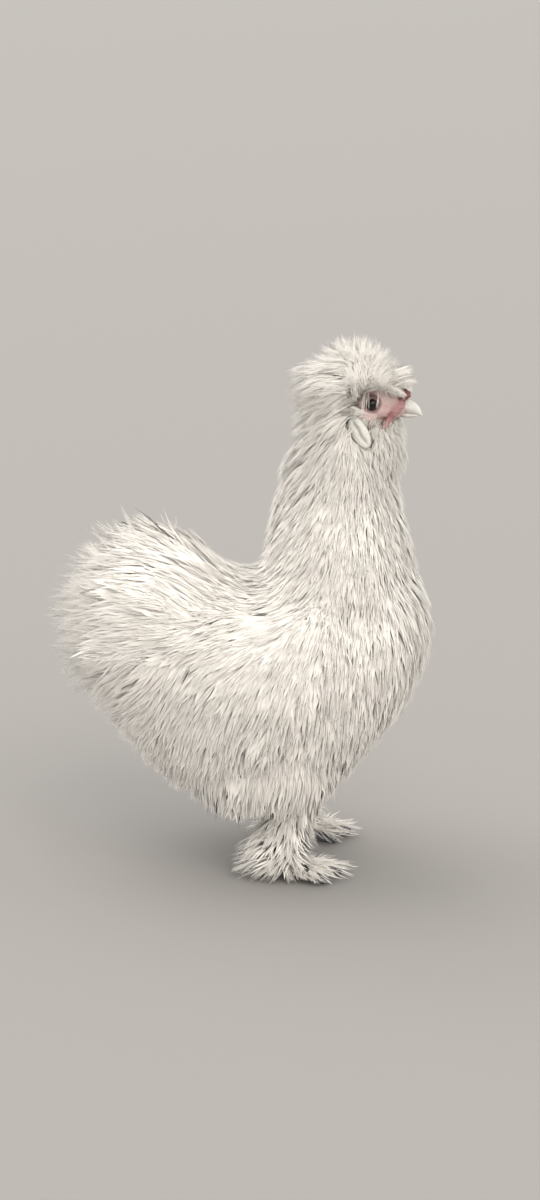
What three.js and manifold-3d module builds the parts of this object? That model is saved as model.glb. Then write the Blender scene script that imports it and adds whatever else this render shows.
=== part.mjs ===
// A silkie chicken, life-size, as a still museum model: a white hen that stands tall and looks ahead.
// Its solids have the outline of the plumage, out to the tips of the feathers.
// Millimetres. +X is the way it faces, +Y its left side and +Z up; the floor is z = 0.
import * as THREE from "three";
import { mergeVertices } from "three/addons/utils/BufferGeometryUtils.js";
import Module from "manifold-3d";

const wasm = await Module();
wasm.setup();

// Left between neighbouring pieces, so that they meet and don't overlap.
const GAP = 0.38;

// Tables of sections. at is where each section lies on the table's own axis; the rest are its sizes there.
const BODY = {
  ends: [-110, 121],
  at: [-102, -88, -66, -43, -29, -14, 5, 35, 58, 72, 86, 105, 113],
  axis: [154, 148, 138, 127, 121, 117, 112, 112, 118, 124, 131, 143, 148],
  top: [188, 208, 216, 217, 211, 194, 187, 188, 193, 196, 196, 188, 176],
  bottom: [126, 97, 73, 52, 44, 39, 37, 37, 45, 61, 80, 103, 122],
  halfWidth: [38, 55, 67, 73, 75, 77, 78, 75, 70, 66, 60, 48, 35],
};
const NECK = {
  ends: [122, 303],
  at: [150, 172, 188, 204, 220, 236, 250, 263, 277, 285, 293],
  middle: [60, 60, 60, 61.5, 61, 60.7, 61, 58, 52, 50, 48.5],
  halfLength: [50, 55, 52, 46.5, 43, 40.5, 37.5, 31, 18.5, 16, 15],
  halfWidth: [54, 58, 55, 49.5, 45.5, 42, 39.5, 37, 34.5, 33, 31],
};
const SKULL = {
  ends: [44, 102.5],
  at: [54, 68, 80, 90, 98],
  axis: [291, 292, 293, 292.5, 291.5],
  halfHeight: [14, 16.5, 15.5, 12, 8],
  halfWidth: [14, 15.5, 14, 10.5, 6.8],
};
const CREST = {
  ends: [295.5, 336],
  at: [299, 302, 305.5, 309, 314, 320.6, 327, 332.5],
  middle: [65, 65, 65.5, 66.5, 67.5, 70.5, 72, 69],
  halfLength: [30, 35, 36.5, 36, 32.5, 26.5, 21, 13.5],
  halfWidth: [17, 25, 32, 35.5, 35.5, 31, 25, 15.5],
};
// Two more parts of the crest: behind the face down to the nape, and the short tuft over the comb.
const NAPE = {
  ends: [266, 317],
  at: [276, 284, 291, 298, 305, 311],
  middle: [51, 49.5, 48.5, 49.5, 52, 54],
  halfLength: [15.2, 16, 17.2, 19.8, 24, 26],
  halfWidth: [31.5, 33, 34.2, 35.2, 35.8, 35],
};
const FORELOCK = {
  ends: [295, 319],
  at: [299, 303, 307, 313],
  middle: [92.5, 93.5, 94, 90],
  halfLength: [8, 10, 12, 13],
  halfWidth: [12.5, 14, 15, 18],
};
const BEARD = {
  ends: [236, 288.5],
  at: [244, 254, 265, 275, 283],
  middle: [82, 83, 84.5, 86.8, 89.5],
  halfLength: [18, 20.5, 19.5, 16.5, 12.5],
  halfWidth: [25, 28, 26, 21, 14.5],
};

// What part of the body each of these takes.
const CUSHION = { middle: [-26, 0, 206], halfLength: 34, halfWidth: 60, above: 42, below: 42 };
const TAIL = { middle: [-88, 0, 166], halfLength: 76, halfWidth: 95, above: 84, below: 76 };

const EYE = { middle: [80.2, 9.4, 294.8], radius: 5.2 };
const COMB = { middle: [100.4, 0, 299], halfLength: 4.9, halfWidth: 5.2, halfHeight: 4.4, lumps: 0.14 };
const BILL_UPPER = {
  path: [[97, 0, 292.2], [107.4, 0, 294.6], [112.3, 0, 285.6]],
  halfWidth: 5,
  halfHeight: 4.7,
};
const BILL_LOWER = {
  path: [[97, 0, 287.4], [104, 0, 286.3], [110.4, 0, 285.9]],
  halfWidth: 4.4,
  halfHeight: 2.7,
};
const EARLOBE = {
  middle: [73.4, 19, 279],
  halfLength: 11.7,
  halfWidth: 4.9,
  halfDepth: 2.6,
  lean: 31,
  flare: 12,
};
const WATTLE = { root: [95.5, 7.5, 288.5], tip: [87.5, 16.5, 277], halfWidth: 3.2, halfDepth: 2 };

// The left wing's path, from shoulder to tip.
const WING = {
  path: [[56, 51, 172], [44, 63, 156], [29, 72, 134], [13, 76, 112], [0, 73, 92]],
  halfWidth: [13, 24, 29, 27, 15],
  halfDepth: [6, 8, 8, 7, 4],
};

// Each leg is placed by the point on the floor under its shank.
const LEGS = { right: { x: 31, y: -37 }, left: { x: 39, y: 37 } };
const THIGH = {
  ends: [38, 128],
  at: [45, 60, 80, 105],
  middle: [14, 17, 14, 8],
  halfLength: [40, 46, 46, 36],
  halfWidth: [25, 31, 34, 30],
};
const SHANK = { top: 48, bottom: 22, halfLength: 19, halfWidth: 15.5 };
// A toe's middle is this share of its radius above the floor, which cuts its pads flat.
const PAD_RISE = 0.86;

// Toes, each with its heading from straight ahead towards the outside, in degrees.
const TOES = [
  { name: "middle", heading: 2, length: 30, radius: 4 },
  { name: "inner", heading: -33, length: 25, radius: 3.6 },
  { name: "outer", heading: 37, length: 26, radius: 3.6 },
  { name: "hind", heading: -152, length: 18, radius: 3.3 },
  { name: "fifth", heading: -128, length: 18, radius: 2.9, rise: 10 },
];
const CLAW = { length: 7.5, radius: 1.7, sink: 1.4, droop: 2.2 };
const FAN = { back: 38, front: 24, outside: 22, inside: 7.5, height: 34 };

// Locks: broad pointed tufts that give the outline its ragged edge. width is half the widest place, reach is
// how far the tip stands out of the piece, and sink how deep the root lies in it.
const LOCKS = {
  tail: {
    heart: [-34, 0, 158],
    rows: [
      { yaw: 0, pitches: [-44, -26, -8, 10, 28, 46, 64, 82] },
      { yaw: 34, pitches: [-34, -8, 18, 44] },
      { yaw: 60, pitches: [-16, 20] },
    ],
    sink: 32,
    reach: 10,
    width: 14,
    curl: 6,
  },
  crest: {
    heart: [66, 0, 306],
    rows: [
      { yaw: 0, pitches: [-20, 2, 24, 46] },
      { yaw: 36, pitches: [-8, 24] },
    ],
    sink: 13,
    reach: 5.5,
    width: 8,
    curl: 2,
  },
  brow: {
    heart: [70, 0, 305],
    rows: [
      { yaw: 180, pitches: [8] },
      { yaw: 154, pitches: [12] },
    ],
    sink: 8,
    reach: 4,
    width: 6,
    curl: 1,
  },
  hackle: { level: 158, count: 9, sink: 8, reach: 14, width: 11 },
  hem: { count: 4, from: -56, to: -14, aside: 34, sink: 16, reach: 8, width: 13 },
  thigh: { count: 4, sink: 16, reach: 6, width: 12 },
  wing: { leans: [0.62, 0.3, -0.02], length: 36, width: 10 },
  fan: { count: 5, sink: 14, reach: 6.5, width: 9 },
};

const WHITE = 0xf3ece2;
const SIDES = { right: -1, left: 1 };

// A value from a column of a table, smooth between the knots.
function between(knots, values, at) {
  const last = knots.length - 1;
  let i = 0;
  while (i < last - 1 && at > knots[i + 1]) i++;
  const slope = (k) => {
    const a = Math.max(0, k - 1);
    const b = Math.min(last, k + 1);
    return (values[b] - values[a]) / (knots[b] - knots[a]);
  };
  const span = knots[i + 1] - knots[i];
  const u = Math.min(1, Math.max(0, (at - knots[i]) / span));
  const square = u * u;
  const cube = square * u;
  return (
    (2 * cube - 3 * square + 1) * values[i] +
    (cube - 2 * square + u) * span * slope(i) +
    (3 * square - 2 * cube) * values[i + 1] +
    (cube - square) * span * slope(i + 1)
  );
}

// How round a closed loft's end makes it at a share of its length: 0 at both ends and 1 in the middle.
const roundness = (share) => 2 * Math.sqrt(Math.max(0, share * (1 - share)));

// A closed loft, from a sphere whose poles become its two ends. section(share) gives each ring's centre, its
// side and up directions, and its sizes to the side, up and down before the ends are rounded.
function loft(section, sides, rings, power = 2) {
  const ball = new THREE.SphereGeometry(1, sides, rings);
  const at = ball.getAttribute("position");
  const v = new THREE.Vector3();
  for (let i = 0; i < at.count; i++) {
    v.fromBufferAttribute(at, i);
    const share = Math.min(1, Math.max(0, (1 - v.y) / 2));
    const ring = section(share);
    const around = Math.atan2(v.z, v.x);
    const c = Math.cos(around);
    const s = Math.sin(around);
    const fullness = roundness(share) / (Math.abs(c) ** power + Math.abs(s) ** power) ** (1 / power);
    v.copy(ring.centre)
      .addScaledVector(ring.side, c * fullness * ring.wide)
      .addScaledVector(ring.up, s * fullness * (s > 0 ? ring.high : ring.low));
    at.setXYZ(i, v.x, v.y, v.z);
  }
  return ball;
}

const AHEAD = new THREE.Vector3(1, 0, 0);
const LEFT = new THREE.Vector3(0, 1, 0);
const UP = new THREE.Vector3(0, 0, 1);

// A loft whose sections stand upright across the bird, read from a table along X.
function lengthwise(table, sides, rings, power) {
  const [from, to] = table.ends;
  const size = (column, at) => between(table.at, column, at);
  const full = (column) =>
    column.map((value, i) => value / roundness((table.at[i] - from) / (to - from)));
  const top = full(table.halfHeight ?? table.top.map((z, i) => z - table.axis[i]));
  const bottom = full(table.halfHeight ?? table.bottom.map((z, i) => table.axis[i] - z));
  const width = full(table.halfWidth);
  const section = (share) => {
    const x = from + share * (to - from);
    return {
      centre: new THREE.Vector3(x, 0, size(table.axis, x)),
      side: LEFT,
      up: UP,
      wide: size(width, x),
      high: size(top, x),
      low: size(bottom, x),
    };
  };
  return loft(section, sides, rings, power);
}

// A loft whose sections lie level, read from a table along Z.
function upright(table, sides, rings, power) {
  const [from, to] = table.ends;
  const full = (column) =>
    column.map((value, i) => value / roundness((table.at[i] - from) / (to - from)));
  const width = full(table.halfWidth);
  const long = full(table.halfLength);
  const section = (share) => {
    const z = from + share * (to - from);
    const length = between(table.at, long, z);
    return {
      centre: new THREE.Vector3(between(table.at, table.middle, z), 0, z),
      side: LEFT,
      up: AHEAD,
      wide: between(table.at, width, z),
      high: length,
      low: length,
    };
  };
  return loft(section, sides, rings, power);
}

// An ellipsoid with its own heights above and below its middle.
function dome({ middle, halfLength, halfWidth, above, below }, sides, rings) {
  const centre = new THREE.Vector3(...middle);
  const section = (share) => ({
    centre: centre.clone().addScaledVector(AHEAD, (2 * share - 1) * halfLength),
    side: LEFT,
    up: UP,
    wide: halfWidth,
    high: above,
    low: below,
  });
  return loft(section, sides, rings);
}

// A loft along a path of points. wide and deep are its half sizes at each point; wide lies along side.
function sweep(path, wide, deep, sides, rings, side = LEFT) {
  const curve = new THREE.CatmullRomCurve3(path.map((p) => new THREE.Vector3(...p)));
  const knots = path.map((_, i) => i / (path.length - 1));
  const inner = (share) => Math.min(0.97, Math.max(0.03, share));
  const section = (share) => {
    const along = curve.getTangent(inner(share));
    const across = side.clone().addScaledVector(along, -side.dot(along)).normalize();
    const fill = 1 / Math.max(0.55, roundness(share));
    return {
      centre: curve.getPoint(share),
      side: across,
      up: along.clone().cross(across),
      wide: between(knots, wide, share) * fill,
      high: between(knots, deep, share) * fill,
      low: between(knots, deep, share) * fill,
    };
  };
  return loft(section, sides, rings);
}

// A pointed tuft from root along heading; its tip bends up by curl, or down where curl is negative.
function lock(root, heading, length, width, curl = 0) {
  const point = (share) =>
    root.clone().addScaledVector(heading, share * length).addScaledVector(UP, curl * share * share).toArray();
  const across = Math.abs(heading.y) > 0.8 ? UP : LEFT;
  const side = heading.clone().cross(across).normalize();
  const radii = [0.3, 0.85, 0.85, 0.08].map((share) => share * width);
  return sweep([0, 0.36, 0.68, 1].map(point), radii, radii.map((r) => 0.7 * r), 5, 4, side);
}

// Where a ray from heart along heading leaves a geometry.
function surfaceOf(geometry, heart, heading) {
  const mesh = new THREE.Mesh(geometry, new THREE.MeshBasicMaterial({ side: THREE.DoubleSide }));
  const hits = new THREE.Raycaster(heart, heading).intersectObject(mesh);
  return hits[hits.length - 1].point;
}

// Locks that stand out of a geometry all round its heart, in rows on both sides of the bird. yaw turns from
// straight back to the side, and pitch up.
function radiatingLocks(geometry, { heart, rows, sink, reach, width, curl }) {
  const from = new THREE.Vector3(...heart);
  return rows.flatMap(({ yaw, pitches }) =>
    (yaw % 180 ? [-1, 1] : [1]).flatMap((sign) =>
      pitches.map((pitch, k) => {
        const turn = degrees(yaw) * sign;
        const level = Math.cos(degrees(pitch));
        const rise = Math.sin(degrees(pitch));
        const heading = new THREE.Vector3(-level * Math.cos(turn), level * Math.sin(turn), rise);
        const root = surfaceOf(geometry, from, heading).addScaledVector(heading, -sink);
        const uneven = 1 + 0.3 * Math.sin(4 * sign + 2.6 * k + yaw);
        return lock(root, heading, sink + reach * uneven, width, curl * Math.sin(3 * sign + 2 * k));
      }),
    ),
  );
}

// A geometry as a solid, its vertices moved out by grow.
function solidOf(geometry, grow = 0) {
  const bare = geometry.clone();
  bare.deleteAttribute("normal");
  bare.deleteAttribute("uv");
  const merged = mergeVertices(bare, 1e-4);
  const at = merged.getAttribute("position");
  const corners = merged.index.array;
  const [a, b, c] = [0, 1, 2].map(() => new THREE.Vector3());
  let volume = 0;
  for (let i = 0; i < corners.length; i += 3) {
    [a, b, c].forEach((v, k) => v.fromBufferAttribute(at, corners[i + k]));
    volume += a.dot(b.cross(c)) / 6;
  }
  if (volume < 0) {
    for (let i = 0; i < corners.length; i += 3) {
      [corners[i + 1], corners[i + 2]] = [corners[i + 2], corners[i + 1]];
    }
  }
  if (grow) {
    merged.computeVertexNormals();
    const out = merged.getAttribute("normal");
    for (let i = 0; i < at.count; i++) {
      a.fromBufferAttribute(at, i).addScaledVector(b.fromBufferAttribute(out, i), grow);
      at.setXYZ(i, a.x, a.y, a.z);
    }
  }
  const mesh = new wasm.Mesh({
    numProp: 3,
    vertProperties: new Float32Array(at.array),
    triVerts: new Uint32Array(corners),
  });
  return new wasm.Manifold(mesh);
}

const joined = (solids) => solids.reduce((whole, s) => whole.add(s));

// A shape's geometries joined. Where it has a form to keep within, it is cut down to that before its locks
// are added.
function filled({ of, within, locks = [] }, grow = 0) {
  const solids = (geometries) => geometries.map((g) => solidOf(g, grow));
  const whole = joined(solids(of));
  return within ? joined([whole.intersect(solidOf(within, grow)), ...solids(locks)]) : whole;
}

// The largest body of a solid, so that no sliver that a cut leaves stays on.
const largest = (solid) =>
  solid.decompose().reduce((best, s) => (s.volume() > best.volume() ? s : best));

function geometryOf(solid) {
  const mesh = solid.getMesh();
  const points = new Float32Array(mesh.numVert * 3);
  for (let i = 0; i < mesh.numVert; i++)
    points.set(mesh.vertProperties.subarray(i * mesh.numProp, i * mesh.numProp + 3), i * 3);
  const geometry = new THREE.BufferGeometry();
  geometry.setAttribute("position", new THREE.BufferAttribute(points, 3));
  geometry.setIndex(new THREE.BufferAttribute(mesh.triVerts, 1));
  geometry.computeVertexNormals();
  return geometry;
}

const mirrored = (point, sign) => [point[0], point[1] * sign, point[2]];
const degrees = THREE.MathUtils.degToRad;

// Locks of the hackle, that end over the shoulders and breast all round the neck's foot.
function hackleLocks(geometry) {
  const { level, count, sink, reach, width } = LOCKS.hackle;
  return Array.from({ length: count }, (_, i) => {
    const turn = (2 * Math.PI * (i + 0.5)) / count;
    const out = new THREE.Vector3(Math.cos(turn), Math.sin(turn), 0);
    const heart = new THREE.Vector3(60, 0, level + 7 * Math.sin(2.7 * i));
    const heading = out.clone().multiplyScalar(0.42).add(new THREE.Vector3(0, 0, -1)).normalize();
    const root = surfaceOf(geometry, heart, out).addScaledVector(out, -6).addScaledVector(heading, -sink);
    return lock(root, heading, sink + reach * (1.2 + 0.3 * Math.sin(4 * i)), width);
  });
}

// Locks that hang from the rear of the belly in a row on each side.
function hemLocks(geometry) {
  const { count, from, to, aside, sink, reach, width } = LOCKS.hem;
  return [-1, 1].flatMap((sign) =>
    Array.from({ length: count }, (_, i) => {
      const share = i / (count - 1);
      const heart = new THREE.Vector3(from + share * (to - from), sign * aside, 110);
      const heading = new THREE.Vector3(-0.7 + 0.4 * share, sign * 0.15, -1).normalize();
      const root = surfaceOf(geometry, heart, new THREE.Vector3(0, 0, -1)).addScaledVector(heading, -sink);
      return lock(root, heading, sink + reach * (1 + 0.2 * Math.sin(5 * i)), width);
    }),
  );
}

// Head furnishings.

function comb() {
  const { middle, halfLength, halfWidth, halfHeight, lumps } = COMB;
  const ball = new THREE.SphereGeometry(1, 9, 6);
  const at = ball.getAttribute("position");
  for (let i = 0; i < at.count; i++) {
    const [x, y, z] = [at.getX(i), at.getY(i), at.getZ(i)];
    const bump = 1 + lumps * (Math.sin(5.1 * x + 1) * Math.cos(4.6 * z) + 0.5 * Math.cos(8 * y));
    at.setXYZ(i, x * halfLength * bump, y * halfWidth * bump, z * halfHeight * bump);
  }
  ball.translate(...middle);
  return ball;
}

function bill({ path, halfWidth, halfHeight }) {
  const curve = new THREE.QuadraticBezierCurve3(...path.map((p) => new THREE.Vector3(...p)));
  const section = (share) => {
    const along = curve.getTangent(share);
    const taper = (1 - 0.72 * share) * (share > 0.5 ? 1 : 1 + 0.5 * (0.5 - share));
    return {
      centre: curve.getPoint(share),
      side: LEFT,
      up: along.clone().cross(LEFT).normalize(),
      wide: halfWidth * taper,
      high: halfHeight * taper,
      low: halfHeight * taper * 0.9,
    };
  };
  return loft(section, 8, 7);
}

function earlobe(sign) {
  const { middle, halfLength, halfWidth, halfDepth, lean, flare } = EARLOBE;
  const ball = new THREE.SphereGeometry(1, 10, 7);
  ball.scale(halfWidth, halfDepth, halfLength);
  ball.rotateX(degrees(flare * sign));
  ball.rotateY(degrees(-lean));
  ball.translate(...mirrored(middle, sign));
  return ball;
}

function wattle(sign) {
  const { root, tip, halfWidth, halfDepth } = WATTLE;
  const [a, b] = [mirrored(root, sign), mirrored(tip, sign)];
  const half = a.map((value, i) => (value + b[i]) / 2);
  const wide = [0.7, 1, 0.8].map((share) => share * halfWidth);
  return sweep([a, half, b], wide, [halfDepth, halfDepth, halfDepth], 8, 6, AHEAD);
}

function eye(sign) {
  const ball = new THREE.SphereGeometry(EYE.radius, 10, 6);
  ball.translate(...mirrored(EYE.middle, sign));
  return ball;
}

// Wings, legs and feet.

// The folded wing, with the tips of its quills as locks at its lower end.
function wing(sign) {
  const path = WING.path.map((p) => mirrored(p, sign));
  const flat = new THREE.Vector3(0.1 * sign, 1, 0.25 * sign);
  const blade = sweep(path, WING.halfDepth, WING.halfWidth, 10, 8, flat);
  const root = new THREE.Vector3(...path[3]);
  const tips = LOCKS.wing.leans.map((lean, i) => {
    const heading = new THREE.Vector3(-lean, -0.08 * sign, -1).normalize();
    return lock(root, heading, LOCKS.wing.length * (1 + 0.08 * Math.cos(3 * i)), LOCKS.wing.width);
  });
  return [blade, ...tips];
}

// The feathered thigh, whose fluff hides the hock, with locks at its hem.
function thigh(leg) {
  const form = upright(THIGH, 11, 7, 2.2);
  const { count, sink, reach, width } = LOCKS.thigh;
  const tips = Array.from({ length: count }, (_, i) => {
    const turn = degrees(20 + (150 * i) / (count - 1)) * Math.sign(leg.y);
    const heading = new THREE.Vector3(0.35 * Math.cos(turn), 0.3 * Math.sin(turn), -1).normalize();
    const rim = new THREE.Vector3(15 + 33 * Math.cos(turn), 15 * Math.sin(turn), 40);
    const length = sink + reach * (1 + 0.3 * Math.sin(4 * i));
    return lock(rim.addScaledVector(heading, -sink), heading, length, width);
  });
  return [form, ...tips].map((g) => g.translate(leg.x - 31, leg.y, 0));
}

function shank(leg) {
  const { top, bottom, halfLength, halfWidth } = SHANK;
  const path = [top, (top + bottom) / 2, bottom].map((z) => [leg.x - 2, leg.y, z]);
  return sweep(path, [halfWidth, halfWidth, halfWidth], [halfLength, halfLength, halfLength], 10, 5);
}

function toeLine(leg, kind) {
  const sign = Math.sign(leg.y);
  const turn = degrees(kind.heading) * sign;
  const heading = new THREE.Vector3(Math.cos(turn), Math.sin(turn), 0);
  const root = new THREE.Vector3(leg.x, leg.y, kind.radius * PAD_RISE + (kind.rise ? 5 : 0));
  const tip = root.clone().addScaledVector(heading, kind.length).addScaledVector(UP, kind.rise ?? 0);
  return { root, tip, heading: tip.clone().sub(root).normalize() };
}

// A scaly toe, with the thicker pads of its joints.
function toe(leg, kind) {
  const { root, tip } = toeLine(leg, kind);
  const path = [0.3, 0.55, 0.8, 1].map((share) => root.clone().lerp(tip, share).toArray());
  const radii = [1.05, 1, 0.9, 0.8].map((share) => share * kind.radius);
  return sweep(path, radii, radii, 6, 5);
}

function claw(leg, kind) {
  const { tip, heading } = toeLine(leg, kind);
  const point = (share) =>
    tip
      .clone()
      .addScaledVector(heading, share * CLAW.length - CLAW.sink)
      .addScaledVector(UP, 0.4 - CLAW.droop * share * share)
      .toArray();
  const r = CLAW.radius;
  const radii = [r, r * 0.78, 0.45];
  return sweep([point(0), point(0.5), point(1)], radii, radii, 5, 5);
}

// The fan of feathers on a foot: a low skirt round the shank, with pointed tips at its rim.
function fan(leg) {
  const { back, front, outside, inside, height } = FAN;
  const { count, sink, reach, width } = LOCKS.fan;
  const sign = Math.sign(leg.y);
  const skirt = new THREE.SphereGeometry(1, 11, 7);
  const at = skirt.getAttribute("position");
  for (let i = 0; i < at.count; i++) {
    const [x, y] = [at.getX(i), at.getY(i)];
    at.setXYZ(i, x * (x > 0 ? front : back), y * (y * sign > 0 ? outside : inside), 2 + at.getZ(i) * height);
  }
  skirt.translate(leg.x - 3, leg.y, 0);
  const tips = Array.from({ length: count }, (_, i) => {
    const turn = degrees(48 + (190 * i) / (count - 1)) * sign;
    const heart = new THREE.Vector3(leg.x - 3, leg.y, 8 + 3 * Math.cos(3 * i));
    const out = new THREE.Vector3(Math.cos(turn), Math.sin(turn), 0);
    const root = surfaceOf(skirt, heart, out).addScaledVector(out, -sink);
    return lock(root, out.setZ(-0.16).normalize(), sink + reach, width);
  });
  return [skirt, ...tips];
}

// Every piece, in order: each is cut by the ones before it.

const body = lengthwise(BODY, 17, 16, 2.15);
const neck = upright(NECK, 13, 11, 2);
const crest = upright(CREST, 12, 9, 2);
const pieces = [];
const add = (name, of, colour, roughness, extra = {}) => {
  pieces.push({ name, of, colour, roughness, ...extra });
};
const eachSide = (make) => {
  Object.entries(SIDES).forEach(([side, sign]) => make(side, sign, LEGS[side]));
};

eachSide((side, sign) => {
  add(`eye_${side}`, [eye(sign)], 0x1d1412, 0.08);
  add(`earlobe_${side}`, [earlobe(sign)], 0xb9cdcb, 0.5);
  add(`wattle_${side}`, [wattle(sign)], 0x8a4a50, 0.5);
});
add("bill_upper", [bill(BILL_UPPER)], 0xcfcdc8, 0.35);
add("bill_lower", [bill(BILL_LOWER)], 0xc6c4c0, 0.35);
add("comb", [comb()], 0x84464d, 0.5);
add("head", [lengthwise(SKULL, 11, 8, 2)], 0xa67c80, 0.6);
add("cushion", [body], WHITE, 0.9, { within: dome(CUSHION, 12, 7) });
add("tail", [body], WHITE, 0.9, { within: dome(TAIL, 12, 8), locks: radiatingLocks(body, LOCKS.tail) });
add("trunk", [body, ...hemLocks(body)], WHITE, 0.9);
add("neck", [neck, ...hackleLocks(neck)], WHITE, 0.9);
add("beard", [upright(BEARD, 12, 8, 2)], WHITE, 0.9);
const crestLocks = [...radiatingLocks(crest, LOCKS.crest), ...radiatingLocks(crest, LOCKS.brow)];
add("crest", [crest, upright(NAPE, 12, 7, 2), upright(FORELOCK, 9, 5, 2), ...crestLocks], WHITE, 0.9);
eachSide((side, sign, leg) => {
  const grounded = true;
  for (const kind of TOES) add(`claw_${side}_${kind.name}`, [claw(leg, kind)], 0xb8b4ae, 0.35, { grounded });
  add(`foot_feathers_${side}`, fan(leg), WHITE, 0.9, { grounded });
  for (const kind of TOES) add(`toe_${side}_${kind.name}`, [toe(leg, kind)], 0x5f6470, 0.6, { grounded });
  add(`thigh_${side}`, thigh(leg), WHITE, 0.9);
  add(`shank_${side}`, [shank(leg)], WHITE, 0.9);
  add(`wing_${side}`, wing(sign), WHITE, 0.9);
});

const floor = solidOf(new THREE.BoxGeometry(600, 600, 200).translate(0, 0, -100));
const touching = (a, b) => {
  const [p, q] = [a.boundingBox(), b.boundingBox()];
  return [0, 1, 2].every((k) => p.min[k] <= q.max[k] && q.min[k] <= p.max[k]);
};

const bird = new THREE.Group();
const rooms = [];
for (const piece of pieces) {
  let solid = filled(piece);
  const room = filled(piece, GAP).add(solid);
  for (const other of rooms) if (touching(solid, other)) solid = solid.subtract(other);
  if (piece.grounded) solid = solid.subtract(floor);
  rooms.push(room);
  const { colour: color, roughness } = piece;
  const material = new THREE.MeshStandardMaterial({ color, roughness, metalness: 0 });
  const mesh = new THREE.Mesh(geometryOf(largest(solid)), material);
  mesh.name = piece.name;
  bird.add(mesh);
}

// The frame's origin is the middle of the bird's box, on the floor.
const box = new THREE.Box3().setFromObject(bird);
bird.position.set(-(box.min.x + box.max.x) / 2, -(box.min.y + box.max.y) / 2, -box.min.z);

export default bird;
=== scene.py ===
import math
import time

import bpy
import numpy as np
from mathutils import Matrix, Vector
from mathutils.bvhtree import BVHTree

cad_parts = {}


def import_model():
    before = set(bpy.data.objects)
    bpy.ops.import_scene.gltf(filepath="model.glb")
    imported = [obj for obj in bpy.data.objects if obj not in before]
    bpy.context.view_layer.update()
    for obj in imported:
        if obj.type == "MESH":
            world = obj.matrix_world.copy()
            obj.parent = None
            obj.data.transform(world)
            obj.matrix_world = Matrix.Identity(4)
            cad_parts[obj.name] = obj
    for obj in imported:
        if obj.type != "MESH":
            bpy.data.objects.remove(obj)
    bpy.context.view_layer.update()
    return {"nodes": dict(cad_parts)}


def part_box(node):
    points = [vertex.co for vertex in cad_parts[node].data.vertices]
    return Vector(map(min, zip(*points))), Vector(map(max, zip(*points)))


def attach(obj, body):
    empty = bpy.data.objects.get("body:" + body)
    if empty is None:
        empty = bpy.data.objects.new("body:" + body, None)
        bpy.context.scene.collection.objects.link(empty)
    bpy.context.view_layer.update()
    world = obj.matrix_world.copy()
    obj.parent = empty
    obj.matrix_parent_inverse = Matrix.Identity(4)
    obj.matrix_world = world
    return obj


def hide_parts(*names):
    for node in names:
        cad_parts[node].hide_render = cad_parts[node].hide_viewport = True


startTime = time.time()
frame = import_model()
mm = 0.001
rng = np.random.default_rng(7)

# Sizes below are in millimetres, as on a drawing of the hen: +X ahead, +Y her left, z = 0 the floor
eye = {"centre": (80.2, 9.4, 294.8), "radius": 5.2, "segments": 48,
       "iris": (0.022, 0.011, 0.008), "pupil": (0.004, 0.004, 0.005), "rim": (0.02, 0.012, 0.012)}
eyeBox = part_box("eye_right")
shiftX = (eyeBox[0].x + eyeBox[1].x) / 2 / mm - eye["centre"][0]
sides = {"right": -1, "left": 1}
legs = {"right": (31, -37), "left": (39, 37)}


def stage(words):
    print(f"{time.time() - startTime:6.1f} s  {words}")


def at(x, y, z):
    return Vector(((x + shiftX) * mm, y * mm, z * mm))


def drawing(points):   # from the frame's metres to millimetres of the drawing
    return points / mm - np.array((shiftX, 0, 0))


def world(points):   # and back
    return points * mm + np.array((shiftX * mm, 0, 0))


def onSide(sign, centre):
    return centre[0], centre[1] * sign, centre[2]


def bothAsOne(points):   # places of either side, as if on her left
    return np.column_stack((points[:, 0], np.abs(points[:, 1]), points[:, 2]))


def mixed(one, other, share):
    return np.array(one) * (1 - share) + np.array(other) * share


def nothingSelected():
    if bpy.context.object and bpy.context.object.mode != "OBJECT":
        bpy.ops.object.mode_set(mode="OBJECT")
    bpy.ops.object.select_all(action="DESELECT")


def chosen(*objects):
    nothingSelected()
    for one in objects:
        one.select_set(True)
    bpy.context.view_layer.objects.active = objects[-1]
    return objects[-1]


def edited(piece, *steps):   # each step works on the whole mesh
    chosen(piece)
    bpy.ops.object.mode_set(mode="EDIT")
    bpy.ops.mesh.select_all(action="SELECT")
    for step in steps:
        step()
    bpy.ops.object.mode_set(mode="OBJECT")


def settled(piece, name):
    chosen(piece)
    bpy.ops.object.transform_apply(location=True, rotation=True, scale=True)
    piece.name = name
    piece.data.name = name
    return piece


def addBall(centre, radii, turn=(0, 0, 0), segments=20, rings=14):
    nothingSelected()
    bpy.ops.mesh.primitive_uv_sphere_add(
        segments=segments, ring_count=rings, radius=1,
        location=at(*centre), rotation=turn, scale=[r * mm for r in radii])
    return settled(bpy.context.object, "ball")


def joined(objects, name):
    chosen(*objects)
    bpy.ops.object.join()
    return settled(bpy.context.object, name)


def withModifier(piece, kind, **settings):
    chosen(piece)
    modifier = piece.modifiers.new(kind.lower(), kind)
    for key, value in settings.items():
        setattr(modifier, key, value)
    bpy.ops.object.modifier_apply(modifier=modifier.name)
    return piece


def fused(piece, voxel, rounds):
    withModifier(piece, "REMESH", mode="VOXEL", voxel_size=voxel * mm, use_smooth_shade=True)
    return withModifier(piece, "SMOOTH", factor=0.5, iterations=rounds)


def pointsOf(piece):
    flat = np.empty(len(piece.data.vertices) * 3)
    piece.data.vertices.foreach_get("co", flat)
    return flat.reshape(-1, 3)


def normalsOf(piece):
    flat = np.empty(len(piece.data.vertices) * 3)
    piece.data.vertex_normals.foreach_get("vector", flat)
    return flat.reshape(-1, 3)


def movePoints(piece, points):
    piece.data.vertices.foreach_set("co", np.asarray(points, np.float32).ravel())
    piece.data.update()


def unit(vectors):
    return vectors / np.maximum(np.linalg.norm(vectors, axis=-1, keepdims=True), 1e-9)


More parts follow.
